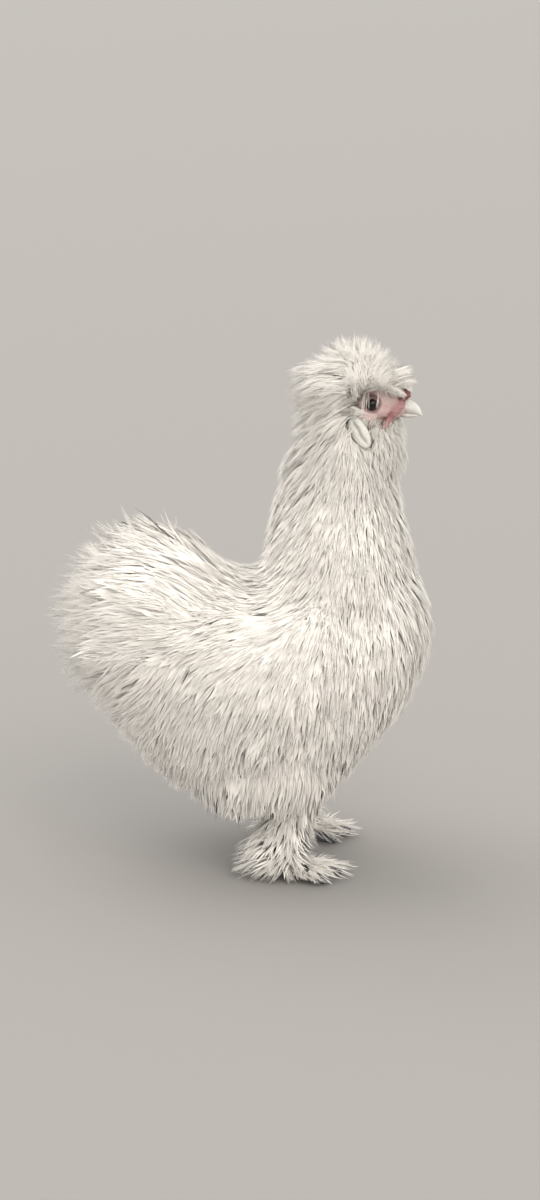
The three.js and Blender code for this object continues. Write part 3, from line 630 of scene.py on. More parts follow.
# The lie of the coat, on the outer form: at each place (x, distance from the middle, z) the way the tips
# point (ahead, outwards, up), how flat they lie, how far ragged tips stand out, how thick a barb is, how
# far it waves and how long it is. Between the places it runs smoothly from one to the next.
lie = {
    "crest": [
        ((84, 0, 334), (0.25, 0, 1.0), 0.15, 3.5, 0.22, 0.4, 27),
        ((66, 0, 335), (-0.2, 0, 1.0), 0.15, 3.5, 0.22, 0.4, 27),
        ((97, 0, 320), (0.75, 0, 0.6), 0.3, 2.2, 0.21, 0.3, 20),
        ((101, 0, 311), (0.95, 0, 0.2), 0.3, 3.5, 0.2, 0.3, 12),
        ((99, 8, 302), (0.85, 0.35, -0.2), 0.6, 1.0, 0.19, 0.3, 9),
        ((46, 0, 323), (-0.85, 0, 0.4), 0.35, 4.5, 0.24, 0.6, 30),
        ((29, 0, 308), (-0.98, 0, -0.12), 0.35, 5.5, 0.25, 0.7, 32),
        ((30, 0, 296), (-0.92, 0, -0.38), 0.4, 5.0, 0.25, 0.7, 30),
        ((32, 6, 284), (-0.87, 0, -0.5), 0.5, 4.5, 0.25, 0.7, 30),
        ((46, 35, 292), (-0.87, 0.1, -0.45), 0.9, 1.8, 0.25, 0.5, 28),
        ((70, 33, 322), (-0.05, 0.4, 0.9), 0.8, 1.2, 0.22, 0.3, 18),
        ((90, 24, 317), (0.5, 0.25, 0.75), 0.8, 1.2, 0.21, 0.3, 15),
        ((97, 16, 309), (0.75, 0.5, 0.2), 0.8, 1.0, 0.2, 0.3, 14),
        ((50, 34, 314), (-0.85, 0.25, 0.2), 0.85, 1.6, 0.23, 0.4, 22),
        ((38, 26, 304), (-0.93, 0.2, -0.22), 0.75, 2.6, 0.25, 0.6, 28),
        ((78, 34, 309), (0.05, 0.75, 0.4), 0.7, 0.8, 0.2, 0.3, 11),
        ((80, 24, 302), (-0.05, 0.5, -0.8), 0.9, 0.6, 0.17, 0.3, 11),
        ((92, 13, 299), (0.35, 0.5, -0.75), 0.9, 0.6, 0.17, 0.3, 9),
        ((58, 33, 303), (-0.8, 0.3, -0.25), 0.85, 1.4, 0.23, 0.4, 18),
        ((69, 31, 303), (-0.45, 0.45, -0.6), 0.9, 0.8, 0.2, 0.3, 11),
    ],
    "beard": [
        ((103, 0, 276), (0.35, 0, -0.9), 0.8, 1.6, 0.2, 0.3, 12),
        ((98, 12, 278), (0.2, 0.3, -0.9), 0.85, 1.2, 0.2, 0.3, 13),
        ((88, 24, 268), (0.1, 0.2, -0.95), 0.95, 0.8, 0.22, 0.3, 16),
        ((76, 27, 264), (-0.2, 0.1, -0.95), 0.95, 0.8, 0.23, 0.4, 18),
        ((62, 28, 284), (-0.6, 0.2, -0.75), 0.9, 1.0, 0.23, 0.4, 18),
        ((100, 8, 254), (0.2, 0, -1.0), 0.9, 1.6, 0.23, 0.4, 20),
    ],
    "neck": [
        ((32, 0, 266), (-0.72, 0, -0.68), 0.7, 3.4, 0.28, 0.7, 32),
        ((48, 32, 272), (-0.6, 0.1, -0.78), 0.95, 1.0, 0.26, 0.5, 28),
        ((22, 0, 245), (-0.55, 0, -0.83), 0.75, 3.2, 0.3, 0.8, 36),
        ((60, 40, 250), (-0.24, 0, -0.97), 0.97, 0.8, 0.28, 0.6, 30),
        ((99, 8, 238), (0.1, 0, -1.0), 0.95, 1.4, 0.26, 0.5, 26),
        ((18, 0, 215), (-0.45, 0, -0.9), 0.8, 3.0, 0.31, 0.9, 38),
        ((60, 46, 215), (-0.14, 0, -1.0), 0.97, 0.9, 0.3, 0.7, 34),
        ((105, 8, 208), (0.16, 0, -1.0), 0.85, 2.6, 0.28, 0.6, 32),
        ((12, 10, 188), (-0.5, 0, -0.8), 0.85, 2.2, 0.31, 0.9, 38),
        ((60, 56, 182), (-0.14, 0, -1.0), 0.95, 1.2, 0.31, 0.8, 36),
        ((22, 46, 180), (-0.5, 0, -0.85), 0.95, 1.4, 0.31, 0.8, 34),
    ],
    "breast": [
        ((119, 0, 165), (0.3, 0, -0.95), 0.6, 4.5, 0.28, 0.6, 32),
        ((112, 24, 140), (-0.15, 0.05, -1.0), 0.95, 1.8, 0.3, 0.6, 34),
        ((98, 42, 160), (-0.05, 0, -1.0), 0.97, 1.0, 0.3, 0.6, 34),
        ((104, 0, 108), (-0.2, 0, -0.97), 0.7, 4.2, 0.3, 0.7, 32),
        ((85, 52, 120), (-0.2, 0, -1.0), 0.95, 1.2, 0.3, 0.7, 34),
    ],
    "back": [
        ((5, 0, 188), (-0.95, 0, -0.05), 0.9, 1.6, 0.31, 0.9, 34),
        ((-14, 0, 194), (-0.75, 0, 0.5), 0.6, 2.4, 0.31, 1.0, 34),
        ((-18, 42, 184), (-0.8, 0.15, 0.15), 0.9, 1.4, 0.31, 0.9, 34),
        ((6, 50, 172), (-0.7, 0.1, -0.5), 0.95, 1.2, 0.31, 0.8, 34),
        ((-12, 70, 165), (-0.75, 0, -0.5), 0.95, 1.0, 0.31, 0.8, 34),
    ],
    "wing": [
        ((52, 58, 172), (-0.35, 0, -0.93), 0.97, 0.8, 0.29, 0.5, 26),
        ((40, 78, 155), (-0.42, 0, -0.9), 0.97, 0.8, 0.29, 0.5, 26),
        ((22, 83, 130), (-0.42, 0, -0.9), 0.97, 1.0, 0.3, 0.6, 30),
        ((4, 80, 98), (-0.42, 0.05, -0.9), 0.7, 4.5, 0.3, 0.8, 32),
        ((40, 76, 112), (-0.2, 0, -1.0), 0.9, 2.6, 0.3, 0.7, 32),
    ],
    "flank": [
        ((62, 64, 92), (-0.12, 0, -1.0), 0.95, 1.4, 0.3, 0.7, 34),
        ((26, 74, 80), (-0.12, 0, -1.0), 0.95, 1.4, 0.3, 0.7, 34),
        ((-6, 74, 84), (-0.22, 0, -0.97), 0.95, 1.4, 0.3, 0.7, 34),
        ((-28, 66, 92), (-0.35, 0, -0.93), 0.95, 1.6, 0.3, 0.8, 36),
        ((-50, 44, 68), (-0.42, 0, -0.9), 0.7, 3.0, 0.31, 0.9, 36),
    ],
    "belly": [
        ((78, 0, 64), (-0.35, 0, -0.93), 0.7, 2.6, 0.29, 0.7, 30),
        ((66, 34, 52), (-0.05, 0.05, -1.0), 0.6, 2.6, 0.29, 0.7, 30),
        ((20, 0, 37), (-0.1, 0, -1.0), 0.3, 2.4, 0.29, 0.8, 26),
        ((-22, 0, 44), (-0.3, 0, -0.95), 0.4, 2.8, 0.29, 0.8, 28),
        ((52, 46, 50), (0.1, 0.1, -1.0), 0.7, 2.4, 0.28, 0.7, 30),
        ((-12, 50, 48), (-0.22, 0.1, -1.0), 0.6, 3.0, 0.29, 0.8, 32),
        ((16, 70, 56), (-0.05, 0.15, -1.0), 0.85, 2.2, 0.29, 0.7, 32),
        ((16, 46, 34), (0.0, 0.05, -1.0), 0.3, 2.4, 0.27, 0.6, 26),
    ],
    "tail": [
        ((-45, 0, 217), (-0.35, 0, 0.95), 0.3, 4.0, 0.3, 1.4, 42),
        ((-66, 0, 214), (-0.85, 0, 0.5), 0.25, 5.5, 0.3, 1.7, 46),
        ((-93, 0, 202), (-0.98, 0, 0.15), 0.25, 6.5, 0.3, 1.8, 48),
        ((-112, 0, 172), (-1.0, 0, 0.05), 0.25, 6.0, 0.3, 1.8, 48),
        ((-110, 0, 145), (-0.95, 0, -0.3), 0.25, 5.0, 0.3, 1.6, 46),
        ((-94, 0, 110), (-0.8, 0, -0.6), 0.3, 4.5, 0.31, 1.3, 44),
        ((-72, 0, 76), (-0.6, 0, -0.8), 0.4, 4.0, 0.31, 1.1, 40),
        ((-45, 60, 190), (-0.72, 0.12, 0.6), 0.9, 1.6, 0.31, 1.0, 38),
        ((-75, 50, 186), (-0.93, 0.15, 0.25), 0.8, 2.4, 0.31, 1.2, 42),
        ((-92, 48, 160), (-0.97, 0.2, 0.0), 0.75, 2.8, 0.31, 1.3, 42),
        ((-60, 68, 160), (-0.98, 0.1, -0.1), 0.95, 1.4, 0.31, 1.0, 40),
        ((-80, 55, 125), (-0.8, 0.1, -0.6), 0.85, 2.4, 0.31, 1.1, 40),
        ((-45, 70, 128), (-0.5, 0, -0.85), 0.95, 1.6, 0.31, 0.9, 38),
        ((-28, 74, 158), (-0.85, 0, -0.45), 0.95, 1.0, 0.31, 0.8, 36),
    ],
    "feet": [((31, 43, 16), (0, 0, -1.0), 0.4, 4.0, 0.2, 0.9, 24)],
}
coat = {
    "tufts": {"crest": 2150, "beard": 940, "neck": 2500, "breast": 1200, "back": 830, "wing": 1100,
              "flank": 1330, "belly": 1380, "tail": 2400, "feet": 1020},
    "barbs": 4,
    "patch": 0.003,
    "mostTriangles": 190000,
    "tone": (0.965, 0.93, 0.875),
    "rootTone": (0.96, 0.90, 0.825),
    "thin": 0.36,
    "softness": 0.9,
    "lowestFacing": -0.2,
    "astray": 0.085,
    "lockTufts": 9,
    "lockPull": 0.55,
    "lockReach": 6,
    "inset": (-0.2, 1.3),
    "fan": 2.3,
    "fanTurn": 0.028,
    "thicker": (1.05, 1.4),
    "bodyThicker": 0.22,
}
under = {"share": 0.95, "inset": (0.5, 1.7), "wide": 2.2, "thin": 0.17, "softness": 0.95, "astray": 0.10,
         "headWide": 0.55, "headInset": 0.6}
# A barb's course: how deep its root sits, how far it rises from the skin and how far back it bends into its
# lie, as shares of its length, and how often it sways and lifts
course = {"sink": 0.8, "rise": 0.3, "back": 0.42, "below": 0.06, "sways": 5.2, "lifts": 4.3}
spots = [(name, *spot) for name, rows in lie.items() for spot in rows]
spotRegion = np.array([s[0] for s in spots])
spotPlace = np.array([s[1] for s in spots], float)
spotFlow = unit(np.array([s[2] for s in spots], float))
spotValue = np.array([s[3:] for s in spots], float)


fan = {"back": 4, "near": 17, "top": 33, "topByShank": 46}


def lieAt(points):
    apart = np.linalg.norm(bothAsOne(points)[:, None] - spotPlace[None], axis=2)
    apart[:, spotRegion == "feet"] = 999
    weight = 1 / (apart + 5) ** 4
    weight /= weight.sum(1, keepdims=True)
    flow, value, region = weight @ spotFlow, weight @ spotValue, spotRegion[np.argmin(apart, axis=1)]
    flow[:, 1] *= np.sign(points[:, 1])
    for legX, legY in legs.values():   # on the feet the feathers fan out round the shank
        fromShank = np.hypot(points[:, 0] - legX + fan["back"], points[:, 1] - legY)
        byShank = (points[:, 2] < fan["topByShank"]) & (fromShank < fan["near"])
        low = ((points[:, 2] < fan["top"]) | byShank) & (np.sign(points[:, 1]) == np.sign(legY))
        out = points[low] - np.array((legX - fan["back"], legY, 0))
        fall = easing(30, 8, points[low, 2])[:, None]
        out[:, 2] = 0
        flow[low] = unit(out) * (0.3 + 0.6 * fall) + np.array((-0.18, 0, -1)) * (1 - 0.72 * fall)
        value[low], region[low] = spotValue[-1], "feet"
    return unit(flow), value, region


# Where no feather grows or lies, in the drawing seen from the side: centre, half sizes and lean in degrees
bare = {
    "eye": ((78.7, 295.2), (8.4, 5.6), 0),
    "cheek": ((84, 288.4), (8.6, 5.2), 0),
    "fold": ((95.5, 289.5), (4.2, 11.5), 41),
    "billRoot": ((104, 291), (5.5, 8), 0),
    "lobe": ((72.8, 278.8), (6.9, 12.8), -31),
}


def isBare(points, grown=0.0, places=tuple(bare)):
    hit = np.zeros(len(points), bool)
    overhang = 0.2 * np.maximum(np.abs(points[:, 1]) - 14, 0)   # what stands far out hides more of the face
    for (cx, cz), (wide, high), lean in (bare[place] for place in places):
        turn = math.radians(lean)
        dx, dz = points[:, 0] - cx, points[:, 2] - overhang - cz
        u = dx * math.cos(turn) - dz * math.sin(turn)
        v = dx * math.sin(turn) + dz * math.cos(turn)
        hit |= (u / (wide + grown)) ** 2 + (v / (high + grown)) ** 2 < 1
    return hit


def crossesLobe(line):
    inner = line[:, 1:].reshape(-1, 3)
    over = isBare(inner, -1.4, ("lobe",)) & (np.abs(inner[:, 1]) > 16)
    return over.reshape(len(line), -1).any(axis=1)


def onHull(areas, wanted):   # random places on the outer form, and which way it faces there
    picked = rng.choice(len(hullCorners), wanted, p=areas / areas.sum())
    far, along = np.sqrt(rng.random(wanted)), rng.random(wanted)
    share = np.column_stack((1 - far, far * (1 - along), far * along))
    corners = hullCorners[picked]
    tips, outward = (np.einsum("nk,nkj->nj", share, values[corners]) for values in (hullPoints, hullOutward))
    return tips, unit(outward)


a, b, c = (hullPoints[hullCorners[:, k]] for k in range(3))
hullAreas = np.linalg.norm(np.cross(b - a, c - a), axis=1) / 2
middle = (a + b + c) / 3
_, _, hullRegion = lieAt(middle)
hullAreas[isBare(middle, 0.8) | (middle[:, 2] < 1.0)] = 0
# More feathers grow where they part: at the sides of the crest, over the wings, at the sides of the tail
partings = {
    "more": 1.6,
    "places": [((86, 27, 312), 12), ((50, 56, 180), 14), ((-53, 65, 181), 15), ((-92, 50, 116), 14),
               ((26, 37, 38), 15), ((73, 28, 264), 11)],
}
for place, wide in partings["places"]:
    apart = np.linalg.norm(bothAsOne(middle) - place, axis=1)
    hullAreas *= 1 + partings["more"] * (1 - easing(0.4 * wide, wide, apart))


def rootsUnder(tips, outward, flow, length):
    # each tuft's root: the nearest skin to a place back along its lie, its normal and place on the unwrap
    back = tips - flow * length[:, None] * 0.85 - outward * 16
    root, normal, place = np.empty_like(tips), np.empty_like(tips), np.empty((len(tips), 2))
    for i, spot in enumerate(back):
        near, facing, face, _ = skinTree.find_nearest(Vector(spot))
        root[i], normal[i] = near, facing
        corners = skinPoints[skinCorners[face]]
        gap = np.linalg.norm(corners - np.array(near), axis=1) + 1e-6
        place[i] = (skinMap[skinLoops[face]] / gap[:, None]).sum(0) / (1 / gap).sum()
    return root, normal, place


def strands(name, keep, line, across, up, thick, shading, place, column, tone,
            thin, profile, columns, softness):
    # line: barbs x rings x 3, the last ring a single tip point; the tube round it has three sides
    line, across, up, thick, shading, place, column, tone = (
        values[keep] for values in (line, across, up, thick, shading, place, column, tone))
    total, rings = line.shape[0], line.shape[1] - 1
    corner = np.radians((90, 210, 330))
    size = (thick[:, None] * np.array(profile)[None])[..., None, None]
    cos, sin = np.cos(corner)[None, None, :, None], np.sin(corner)[None, None, :, None]
    side, high = across[:, :rings, None], up[:, :rings, None]
    ring = line[:, :rings, None] + side * cos * size + high * sin * size * thin
    vertices = np.concatenate((ring.reshape(total, rings * 3, 3), line[:, rings:]), axis=1)
    tube = unit(side * cos + high * sin).reshape(total, rings * 3, 3)
    tube = np.concatenate((tube, shading[:, None]), axis=1)
    facing = unit(np.column_stack((shading[:, :2], np.maximum(shading[:, 2], coat["lowestFacing"]))))
    normals = unit(facing[:, None] * softness + tube * (1 - softness))
    faces = [(0, 1, 2)]
    for r in range(rings - 1):
        for k in range(3):
            i0, i1 = r * 3 + k, r * 3 + (k + 1) % 3
            faces += [(i0, i1 + 3, i1), (i0, i0 + 3, i1 + 3)]
    last = rings * 3
    faces += [(last - 3 + (k + 1) % 3, last - 3 + k, last) for k in range(3)]
    each = last + 1
    corners = (np.array(faces)[None] + (np.arange(total) * each)[:, None, None]).reshape(-1)
    mesh = bpy.data.meshes.new(name)
    mesh.vertices.add(total * each)
    vertices[..., 2] = np.maximum(vertices[..., 2], 0.3)
    mesh.vertices.foreach_set("co", world(vertices.reshape(-1, 3)).astype(np.float32).ravel())
    mesh.loops.add(len(corners))
    mesh.loops.foreach_set("vertex_index", corners.astype(np.int32))
    mesh.polygons.add(len(corners) // 3)
    mesh.polygons.foreach_set("loop_start", np.arange(0, len(corners), 3, dtype=np.int32))
    mesh.update(calc_edges=True)
    piece = bpy.data.objects.new(name, mesh)
    bpy.context.scene.collection.objects.link(piece)
    height = np.append(np.repeat(np.linspace(0, 0.9, rings), 3), 1.0)
    wideways = np.append(np.tile((0.5, 0.1, 0.9), rings), 0.5)
    uv = np.empty((total, each, 2), np.float32)
    uv[..., 0] = place[:, None, 0] + coat["patch"] * ((column[:, None] + wideways[None]) / columns - 0.5)
    uv[..., 1] = place[:, None, 1] + coat["patch"] * (height[None] - 0.5)
    layer = mesh.uv_layers.new(name="OFBake")
    layer.data.foreach_set("uv", uv.reshape(-1, 2)[corners].ravel())
    dressed(piece, coatFinish, "feathers")
    fade = easing(0.0, 0.7, height)[None, :, None]
    colour = mixed(coat["rootTone"], coat["tone"], fade)
    paint(piece, "coatTone", (colour * tone[:, None]).reshape(-1, 3))
    mesh.normals_split_custom_set_from_vertices(normals.reshape(-1, 3).astype(np.float32).tolist())
    return len(corners) // 3


def combed(tips, outward, flow, value, root, rootNormal, times, inset, wavePhase):
    # curved lines from the roots to the tips: out of the skin, then along under the surface of the coat
    flat, wave = value[:, 0], value[:, 3]
    ending = unit(flow - outward * ((flow * outward).sum(1) * flat)[:, None])
    end = tips - outward * inset[:, None]
    long = np.linalg.norm(end - root, axis=1)[:, None]
    p0, p1 = root - rootNormal * course["sink"], root + rootNormal * long * course["rise"]
    p2 = end - ending * long * course["back"] - outward * long * course["below"]
    t = np.array(times)[None, :, None]
    line = (1 - t) ** 3 * p0[:, None] + 3 * t * (1 - t) ** 2 * p1[:, None]
    line = line + 3 * t ** 2 * (1 - t) * p2[:, None] + t ** 3 * end[:, None]
    along = unit(np.gradient(line, axis=1))
    across = unit(np.cross(along, outward[:, None]))
    up = np.cross(across, along)
    sway = np.sin(t[..., 0] * course["sways"] + wavePhase[:, :1]) * t[..., 0] ** 1.5 * wave[:, None]
    lift = np.cos(t[..., 0] * course["lifts"] + wavePhase[:, 1:2]) * t[..., 0] ** 2 * wave[:, None] * 0.5
    return line + across * sway[..., None] + up * lift[..., None], across, up


def piecesOf(name, count, perTuft, trianglesEach):
    parts = math.ceil(count * perTuft * trianglesEach / coat["mostTriangles"])
    return [(f"{name}_{k + 1}" if parts > 1 else name, slice(k, None, parts)) for k in range(parts)]


def nearHead(name, z):
    return 1.0 if name in ("crest", "beard") else easing(215, 250, z)


def growUnder(name, wanted):
    # the under-coat: broad thin vanes that close the coat below its outer barbs
    tips, outward = onHull(np.where(hullRegion == name, hullAreas, 0), wanted)
    flow, value, _ = lieAt(tips)
    flow = unit(flow + rng.normal(0, under["astray"], flow.shape))
    root, rootNormal, place = rootsUnder(tips, outward, flow, value[:, 4])
    onHead = nearHead(name, tips[:, 2])
    inset = rng.uniform(*under["inset"], wanted) * np.clip(value[:, 4] / 30, 0.45, 1)
    inset = inset + under["headInset"] * onHead
    line, across, up = combed(tips, outward, flow, value, root, rootNormal,
                              (0, 0.42, 0.78, 1), inset, rng.random((wanted, 2)) * 6.3)
    inTheWay = isBare(line[:, 1], 1.5) | isBare(line[:, 2], 3.2) | isBare(line[:, 3], 3.2) | crossesLobe(line)
    keep = ~(inTheWay | (line[:, 3, 2] < 0.8))
    wide = (under["wide"] + (under["headWide"] - under["wide"]) * onHead) * value[:, 2] / 0.3
    wide *= 0.4 + 0.6 * easing(0.25, 0.5, value[:, 0])   # narrower where the feathers stand out
    tone = np.repeat((0.965 + 0.035 * rng.random(wanted))[:, None], 3, axis=1)
    return strands(f"undercoat_{name}", keep, line, across, up, wide, outward, place, np.zeros(wanted), tone,
                   under["thin"], (0.6, 1.0, 0.72), 1, under["softness"])


def growBarbs(name, wanted, rings):
    barbs = coat["barbs"]
    tips, outward = onHull(np.where(hullRegion == name, hullAreas, 0), wanted)
    flow, value, _ = lieAt(tips)
    flow = unit(flow + rng.normal(0, coat["astray"], flow.shape))
    root, rootNormal, place = rootsUnder(tips, outward, flow, value[:, 4])
    # where the coat is ragged its tufts gather in pointed locks, whose middles reach further out
    heads = tips[rng.choice(wanted, wanted // coat["lockTufts"], replace=False)]
    apart = np.linalg.norm(tips[:, None] - heads[None], axis=2)
    nearest = apart.min(1)
    loose = easing(1.2, 3.2, value[:, 1])
    tips = tips + (heads[apart.argmin(1)] - tips) * (coat["lockPull"] * loose)[:, None]
    middle = 1 - np.clip(nearest / coat["lockReach"], 0, 1)
    stray = (0.55 * middle ** 1.5 + 0.6 * rng.random(wanted) ** 2.4) * value[:, 1]
    inset = rng.uniform(*coat["inset"], wanted) - stray
    phase = rng.random((wanted, 2)) * 6.3
    tone = 0.965 + 0.045 * rng.random((wanted, 1)) + rng.normal(0, 0.003, (wanted, 3))
    times = (0, 0.36, 0.62, 0.84, 1) if rings == 4 else (0, 0.45, 0.79, 1)
    profile = (0.7, 1.0, 0.9, 0.55) if rings == 4 else (0.7, 1.0, 0.66)
    made = 0
    for title, part in piecesOf(f"coat_{name}", wanted, barbs, rings * 6 - 2):
        def each(values):
            return np.repeat(values[part], barbs, axis=0)
        t, o, f, v = each(tips), each(outward), each(flow), each(value)
        side = unit(np.cross(f, o))
        n = len(t)
        fanned = rng.normal(0, 1, (n, 1)) * v[:, 2:3] * coat["fan"]
        t = t + side * fanned + f * rng.uniform(-2.5, 1.5, (n, 1))
        r = each(root) + side * fanned * 0.9 + rng.normal(0, 0.5, (n, 3))
        f = unit(f - side * fanned * coat["fanTurn"] + rng.normal(0, 0.03, (n, 3)))
        i = each(inset) + rng.uniform(-0.3, 0.8, n)
        line, across, up = combed(t, o, f, v, r, each(rootNormal), times, i,
                                  each(phase) + rng.normal(0, 0.35, (n, 2)))
        keep = ~(isBare(line[:, -2]) | isBare(line[:, -1]) | crossesLobe(line) | (line[:, -1, 2] < 0.5))
        more = coat["bodyThicker"]
        thick = v[:, 2] * rng.uniform(*coat["thicker"], n) * (1 + more - more * nearHead(name, t[:, 2]))
        column = np.tile(np.arange(barbs), n // barbs)
        made += strands(title, keep, line, across, up, thick, o, each(place), column, each(tone),
                        coat["thin"], profile, barbs, coat["softness"])
    return made


thinned = 1
triangles = 0
for name, wanted in coat["tufts"].items():
    fine = name in ("crest", "beard", "tail", "feet")
    below = growUnder(name, int(wanted * under["share"]) // thinned)
    above = growBarbs(name, wanted // thinned, 4 if fine else 3)
    triangles += below + above
    stage(f"coat of the {name}: {below} triangles below and {above} above")


def rootsNear(spots):
    found = [skinTree.find_nearest(Vector(spot)) for spot in spots]
    place = np.array([skinMap[skinLoops[hit[2]]].mean(0) for hit in found])
    return np.array([hit[0] for hit in found]), np.array([hit[1] for hit in found]), place


def ready(tips, outward, flow, length, wave, title, barbs, thick, tone, roots=None, overSkin=False):
    # tufts given one by one: where each ends, which way it lies and how long it is
    value = np.column_stack([np.broadcast_to(one, len(tips)) for one in (0.25, 0, thick, wave, length)])
    tone = np.broadcast_to(tone, (len(tips), 3))
    found, rootNormal, foundPlace = rootsUnder(tips, outward, flow, value[:, 4]) if roots is None else roots

    def each(values):
        return np.repeat(values, barbs, axis=0)
    n = len(tips) * barbs
    side = unit(np.cross(each(flow), each(outward)))
    fanned = rng.normal(0, 1, (n, 1)) * thick * 2.2
    ends = each(tips) + side * fanned * 0.8 + each(flow) * rng.uniform(-3, 2, (n, 1))
    inset = rng.uniform(-0.4, 0.4, n)
    phase = each(rng.random((len(tips), 2)) * 6.3) + rng.normal(0, 0.15, (n, 2))
    line, across, up = combed(ends, each(outward), each(flow), each(value), each(found) + side * fanned,
                              each(rootNormal), (0, 0.28, 0.5, 0.7, 0.87, 1), inset, phase)
    keep = ~(isBare(line[:, -2]) | isBare(line[:, -1])) | overSkin
    column = np.tile(np.arange(barbs), len(tips))
    return strands(title, keep, line, across, up, np.full(n, thick), each(outward), each(foundPlace), column,
                   each(tone), 0.6, (0.6, 0.9, 1.0, 0.85, 0.55), barbs, 0.7)


# Long curling streamers at the rim of the tail
streamers = {"count": 340, "tried": 14, "barbs": 5, "reach": (3, 13), "wave": (1.8, 5.0), "length": 46,
             "thick": 0.29, "from": (-25, 0, 160)}
rim = (hullRegion == "tail") & (middle[:, 2] > 118)
tips, outward = onHull(np.where(rim, hullAreas, 0), streamers["count"] * streamers["tried"])
away = unit((tips - np.array(streamers["from"])) * np.array((1, 0.35, 1)))
best = np.argsort(-(away * outward).sum(1) + rng.normal(0, 0.07, len(tips)))[:streamers["count"]]
tips, outward, away = tips[best], outward[best], unit(away[best] + rng.normal(0, 0.16, (len(best), 3)))
tips = tips + away * rng.uniform(*streamers["reach"], (len(best), 1))
tone = 0.97 + 0.03 * rng.random((len(best), 1))
triangles += ready(tips, outward, away, streamers["length"], rng.uniform(*streamers["wave"], len(best)),
                   "coat_streamers", streamers["barbs"], streamers["thick"], tone)

# Fine streaks that hang over each eye, the cream tuft that covers the ear above the lobe, the tufts over the
# comb and the muff's edge: the middle of the tips, how far they spread, their lie, length and number
headTufts = {
    "lashes": [((76.0, 19.5, 292.5), (1.9, 0.5, 1.5), (0.12, 0.05, -1), 10, 5),
               ((78.4, 19.5, 291.8), (0.8, 0.4, 1.0), (0.1, 0.05, -1), 11, 2),
               ((82.9, 17.6, 292.4), (0.5, 0.3, 0.8), (-0.2, 0.05, -1), 10, 2)],
    "ear": [((74, 20, 290.8), (2.6, 0.6, 1.5), (0.93, 0.1, -0.3), 11, 34),
            ((70, 21.5, 291.5), (2.2, 0.5, 1.5), (0.85, 0.1, -0.5), 9, 26)],
    "forelock": [((106.8, 2.2, 307.5), (1.3, 1.6, 2.0), (0.95, 0.05, 0.15), 14, 44),
                 ((104.0, 4.0, 313.5), (1.6, 5.0, 3.2), (0.9, 0.1, 0.3), 16, 60),
                 ((97.5, 12.6, 300.6), (2.4, 0.9, 1.6), (0.45, 0.35, -0.8), 11, 40),
                 ((104.8, 4.0, 303.6), (1.0, 1.0, 1.2), (0.85, 0.2, -0.45), 10, 26),
                 ((100.8, 7.4, 299.4), (1.4, 0.6, 1.4), (0.6, 0.35, -0.7), 9, 26)],
    "muff": [((81.8, 17.8, 275.0), (2.0, 0.8, 2.6), (0.05, 0.2, -1), 10, 60)],
    "thick": {"lashes": 0.095, "ear": 0.2, "forelock": 0.17, "muff": 0.2},
    "barbs": 3,
    "wave": 0.3,
    "tone": 0.99,
}
for title, thick in headTufts["thick"].items():
    for sideName, sign in sides.items():
        tips, flows, outs, longs = [], [], [], []
        for centre, around, flow, length, count in headTufts[title]:
            tips.append(np.array(centre) + rng.normal(0, 0.6, (count, 3)) * around)
            longs.append(np.full((count, 1), length))
            flows.append(unit(np.array(flow) + rng.normal(0, 0.05, (count, 3))))
            out = unit(np.array((0.4, 0.6, 0.6) if title == "forelock" else (0, 1.0, 0.1)))
            outs.append(np.tile(out, (count, 1)))
        tips, flows, outs = (np.concatenate(rows) * (1, sign, 1) for rows in (tips, flows, outs))
        longs = np.concatenate(longs)
        roots = rootsNear(tips - flows * longs) if title in ("lashes", "forelock") else None
        triangles += ready(tips, outs, flows, longs[:, 0], headTufts["wave"], f"coat_{title}_{sideName}",
                           headTufts["barbs"], thick, headTufts["tone"], roots, overSkin=True)

# Short down on the cheek, between the earlobe and the red fold
down = {"from": (75, 281), "to": (93, 288.5), "count": 220, "length": 3.4, "thick": 0.1, "wave": 0.1,
        "barbs": 2, "tone": 0.97}
(back, bottom), (front, top) = down["from"], down["to"]
x, y, z = skinPoints.T
for sideName, sign in sides.items():
    cheek = (x > back) & (x < front) & (z > bottom) & (z < top) & (y * sign > 8)
    cheek &= z < top - 0.25 * (x - back) * (x > 84)
    spot = skinPoints[rng.choice(np.flatnonzero(cheek), down["count"])]
    roots = root, normal, _ = rootsNear(spot)
    flow = unit(np.array((-0.35, 0, -0.9)) + rng.normal(0, 0.15, root.shape))
    long = down["length"] * rng.uniform(0.6, 1.1, (len(root), 1))
    tips = root + flow * long + normal * 0.7
    triangles += ready(tips, normal, flow, long[:, 0], down["wave"], f"coat_down_{sideName}", down["barbs"],
                       down["thick"], down["tone"], roots, overSkin=True)

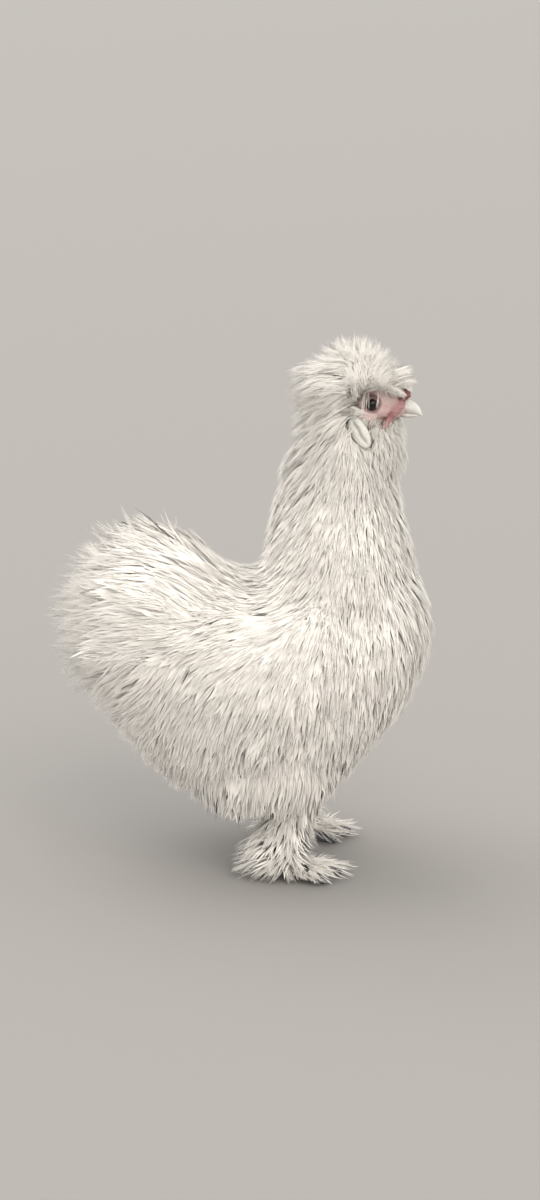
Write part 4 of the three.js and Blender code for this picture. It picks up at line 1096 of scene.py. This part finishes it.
# Feathers that grow along the toes and cover them
toeFeathers = {"counts": {"middle": 95, "outer": 120, "inner": 60}, "barbs": 3, "length": (9, 17),
               "grown": 13.0, "thick": 0.21, "wave": 0.5}
for sideName, sign in sides.items():
    tips, flows, outs = [], [], []
    for name, length, radius, root, tip, axis in toesOf(sideName):
        outer = np.cross((0, 0, 1.0), axis) * sign
        for k in range(toeFeathers["counts"].get(name, 0)):
            share = rng.uniform(0.0, 0.92)
            aside = rng.uniform(-0.55, 1.0)
            flow = axis * rng.uniform(0.6, 1.0) + outer * aside + np.array((0, 0, rng.uniform(-0.12, 0.10)))
            flow /= np.linalg.norm(flow)
            start = root + (tip - root) * share + outer * aside * radius * 0.7
            start = start + np.array((0, 0, radius * 0.8))
            end = start + flow * rng.uniform(*toeFeathers["length"])
            tips.append(end + np.array((0, 0, rng.uniform(-2.0, 1.0))))
            flows.append(flow)
            outs.append(np.array((0, 0, 1.0)) + outer * aside * 0.6)
    tips, flows, outs = np.array(tips), np.array(flows), unit(np.array(outs))
    tips[:, 2] = np.maximum(tips[:, 2], 1.0 + 1.5 * rng.random(len(tips)))
    tone = 0.97 + 0.03 * rng.random((len(tips), 1))
    triangles += ready(tips, outs, flows, toeFeathers["grown"], toeFeathers["wave"], f"coat_toes_{sideName}",
                       toeFeathers["barbs"], toeFeathers["thick"], tone,
                       rootsNear(tips - flows * toeFeathers["grown"]))
stage(f"coat: {triangles} triangles")


# Floor and light
studio = {
    "floorSize": 80,
    "floorTone": (0.30, 0.29, 0.28, 1),
    "floorRoughness": 0.9,
    "sky": (1.0, 0.985, 0.96, 1),
    "skyStrength": 1.1,
    "lamps": {
        "key": {"from": (0.45, -1.0, 0.85), "angle": 45, "strength": 1.35, "colour": (1.0, 0.93, 0.84)},
        "rim": {"from": (-0.7, 0.5, 1.0), "angle": 60, "strength": 1.2, "colour": (1.0, 0.95, 0.9)},
    },
}
nothingSelected()
bpy.ops.mesh.primitive_plane_add(size=studio["floorSize"])
floor = settled(bpy.context.object, "floor")
floorFinish, *_ = newMaterial(
    "floorFinish", Roughness=studio["floorRoughness"], Base_Color=studio["floorTone"])
floor.data.materials.append(floorFinish)

for lamp in studio["lamps"].values():
    nothingSelected()
    aim = (-Vector(lamp["from"])).to_track_quat("-Z", "Y").to_euler()
    bpy.ops.object.light_add(type="SUN", location=lamp["from"], rotation=aim)
    light = bpy.context.object.data
    light.energy = lamp["strength"]
    light.angle = math.radians(lamp["angle"])
    light.color = lamp["colour"]
sky = bpy.data.worlds.new("studio")
sky.use_nodes = True
background = sky.node_tree.nodes["Background"]
background.inputs["Color"].default_value = studio["sky"]
background.inputs["Strength"].default_value = studio["skyStrength"]
bpy.context.scene.world = sky
bpy.context.scene.view_settings.view_transform = "Standard"

nothingSelected()
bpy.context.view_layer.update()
stage("done")
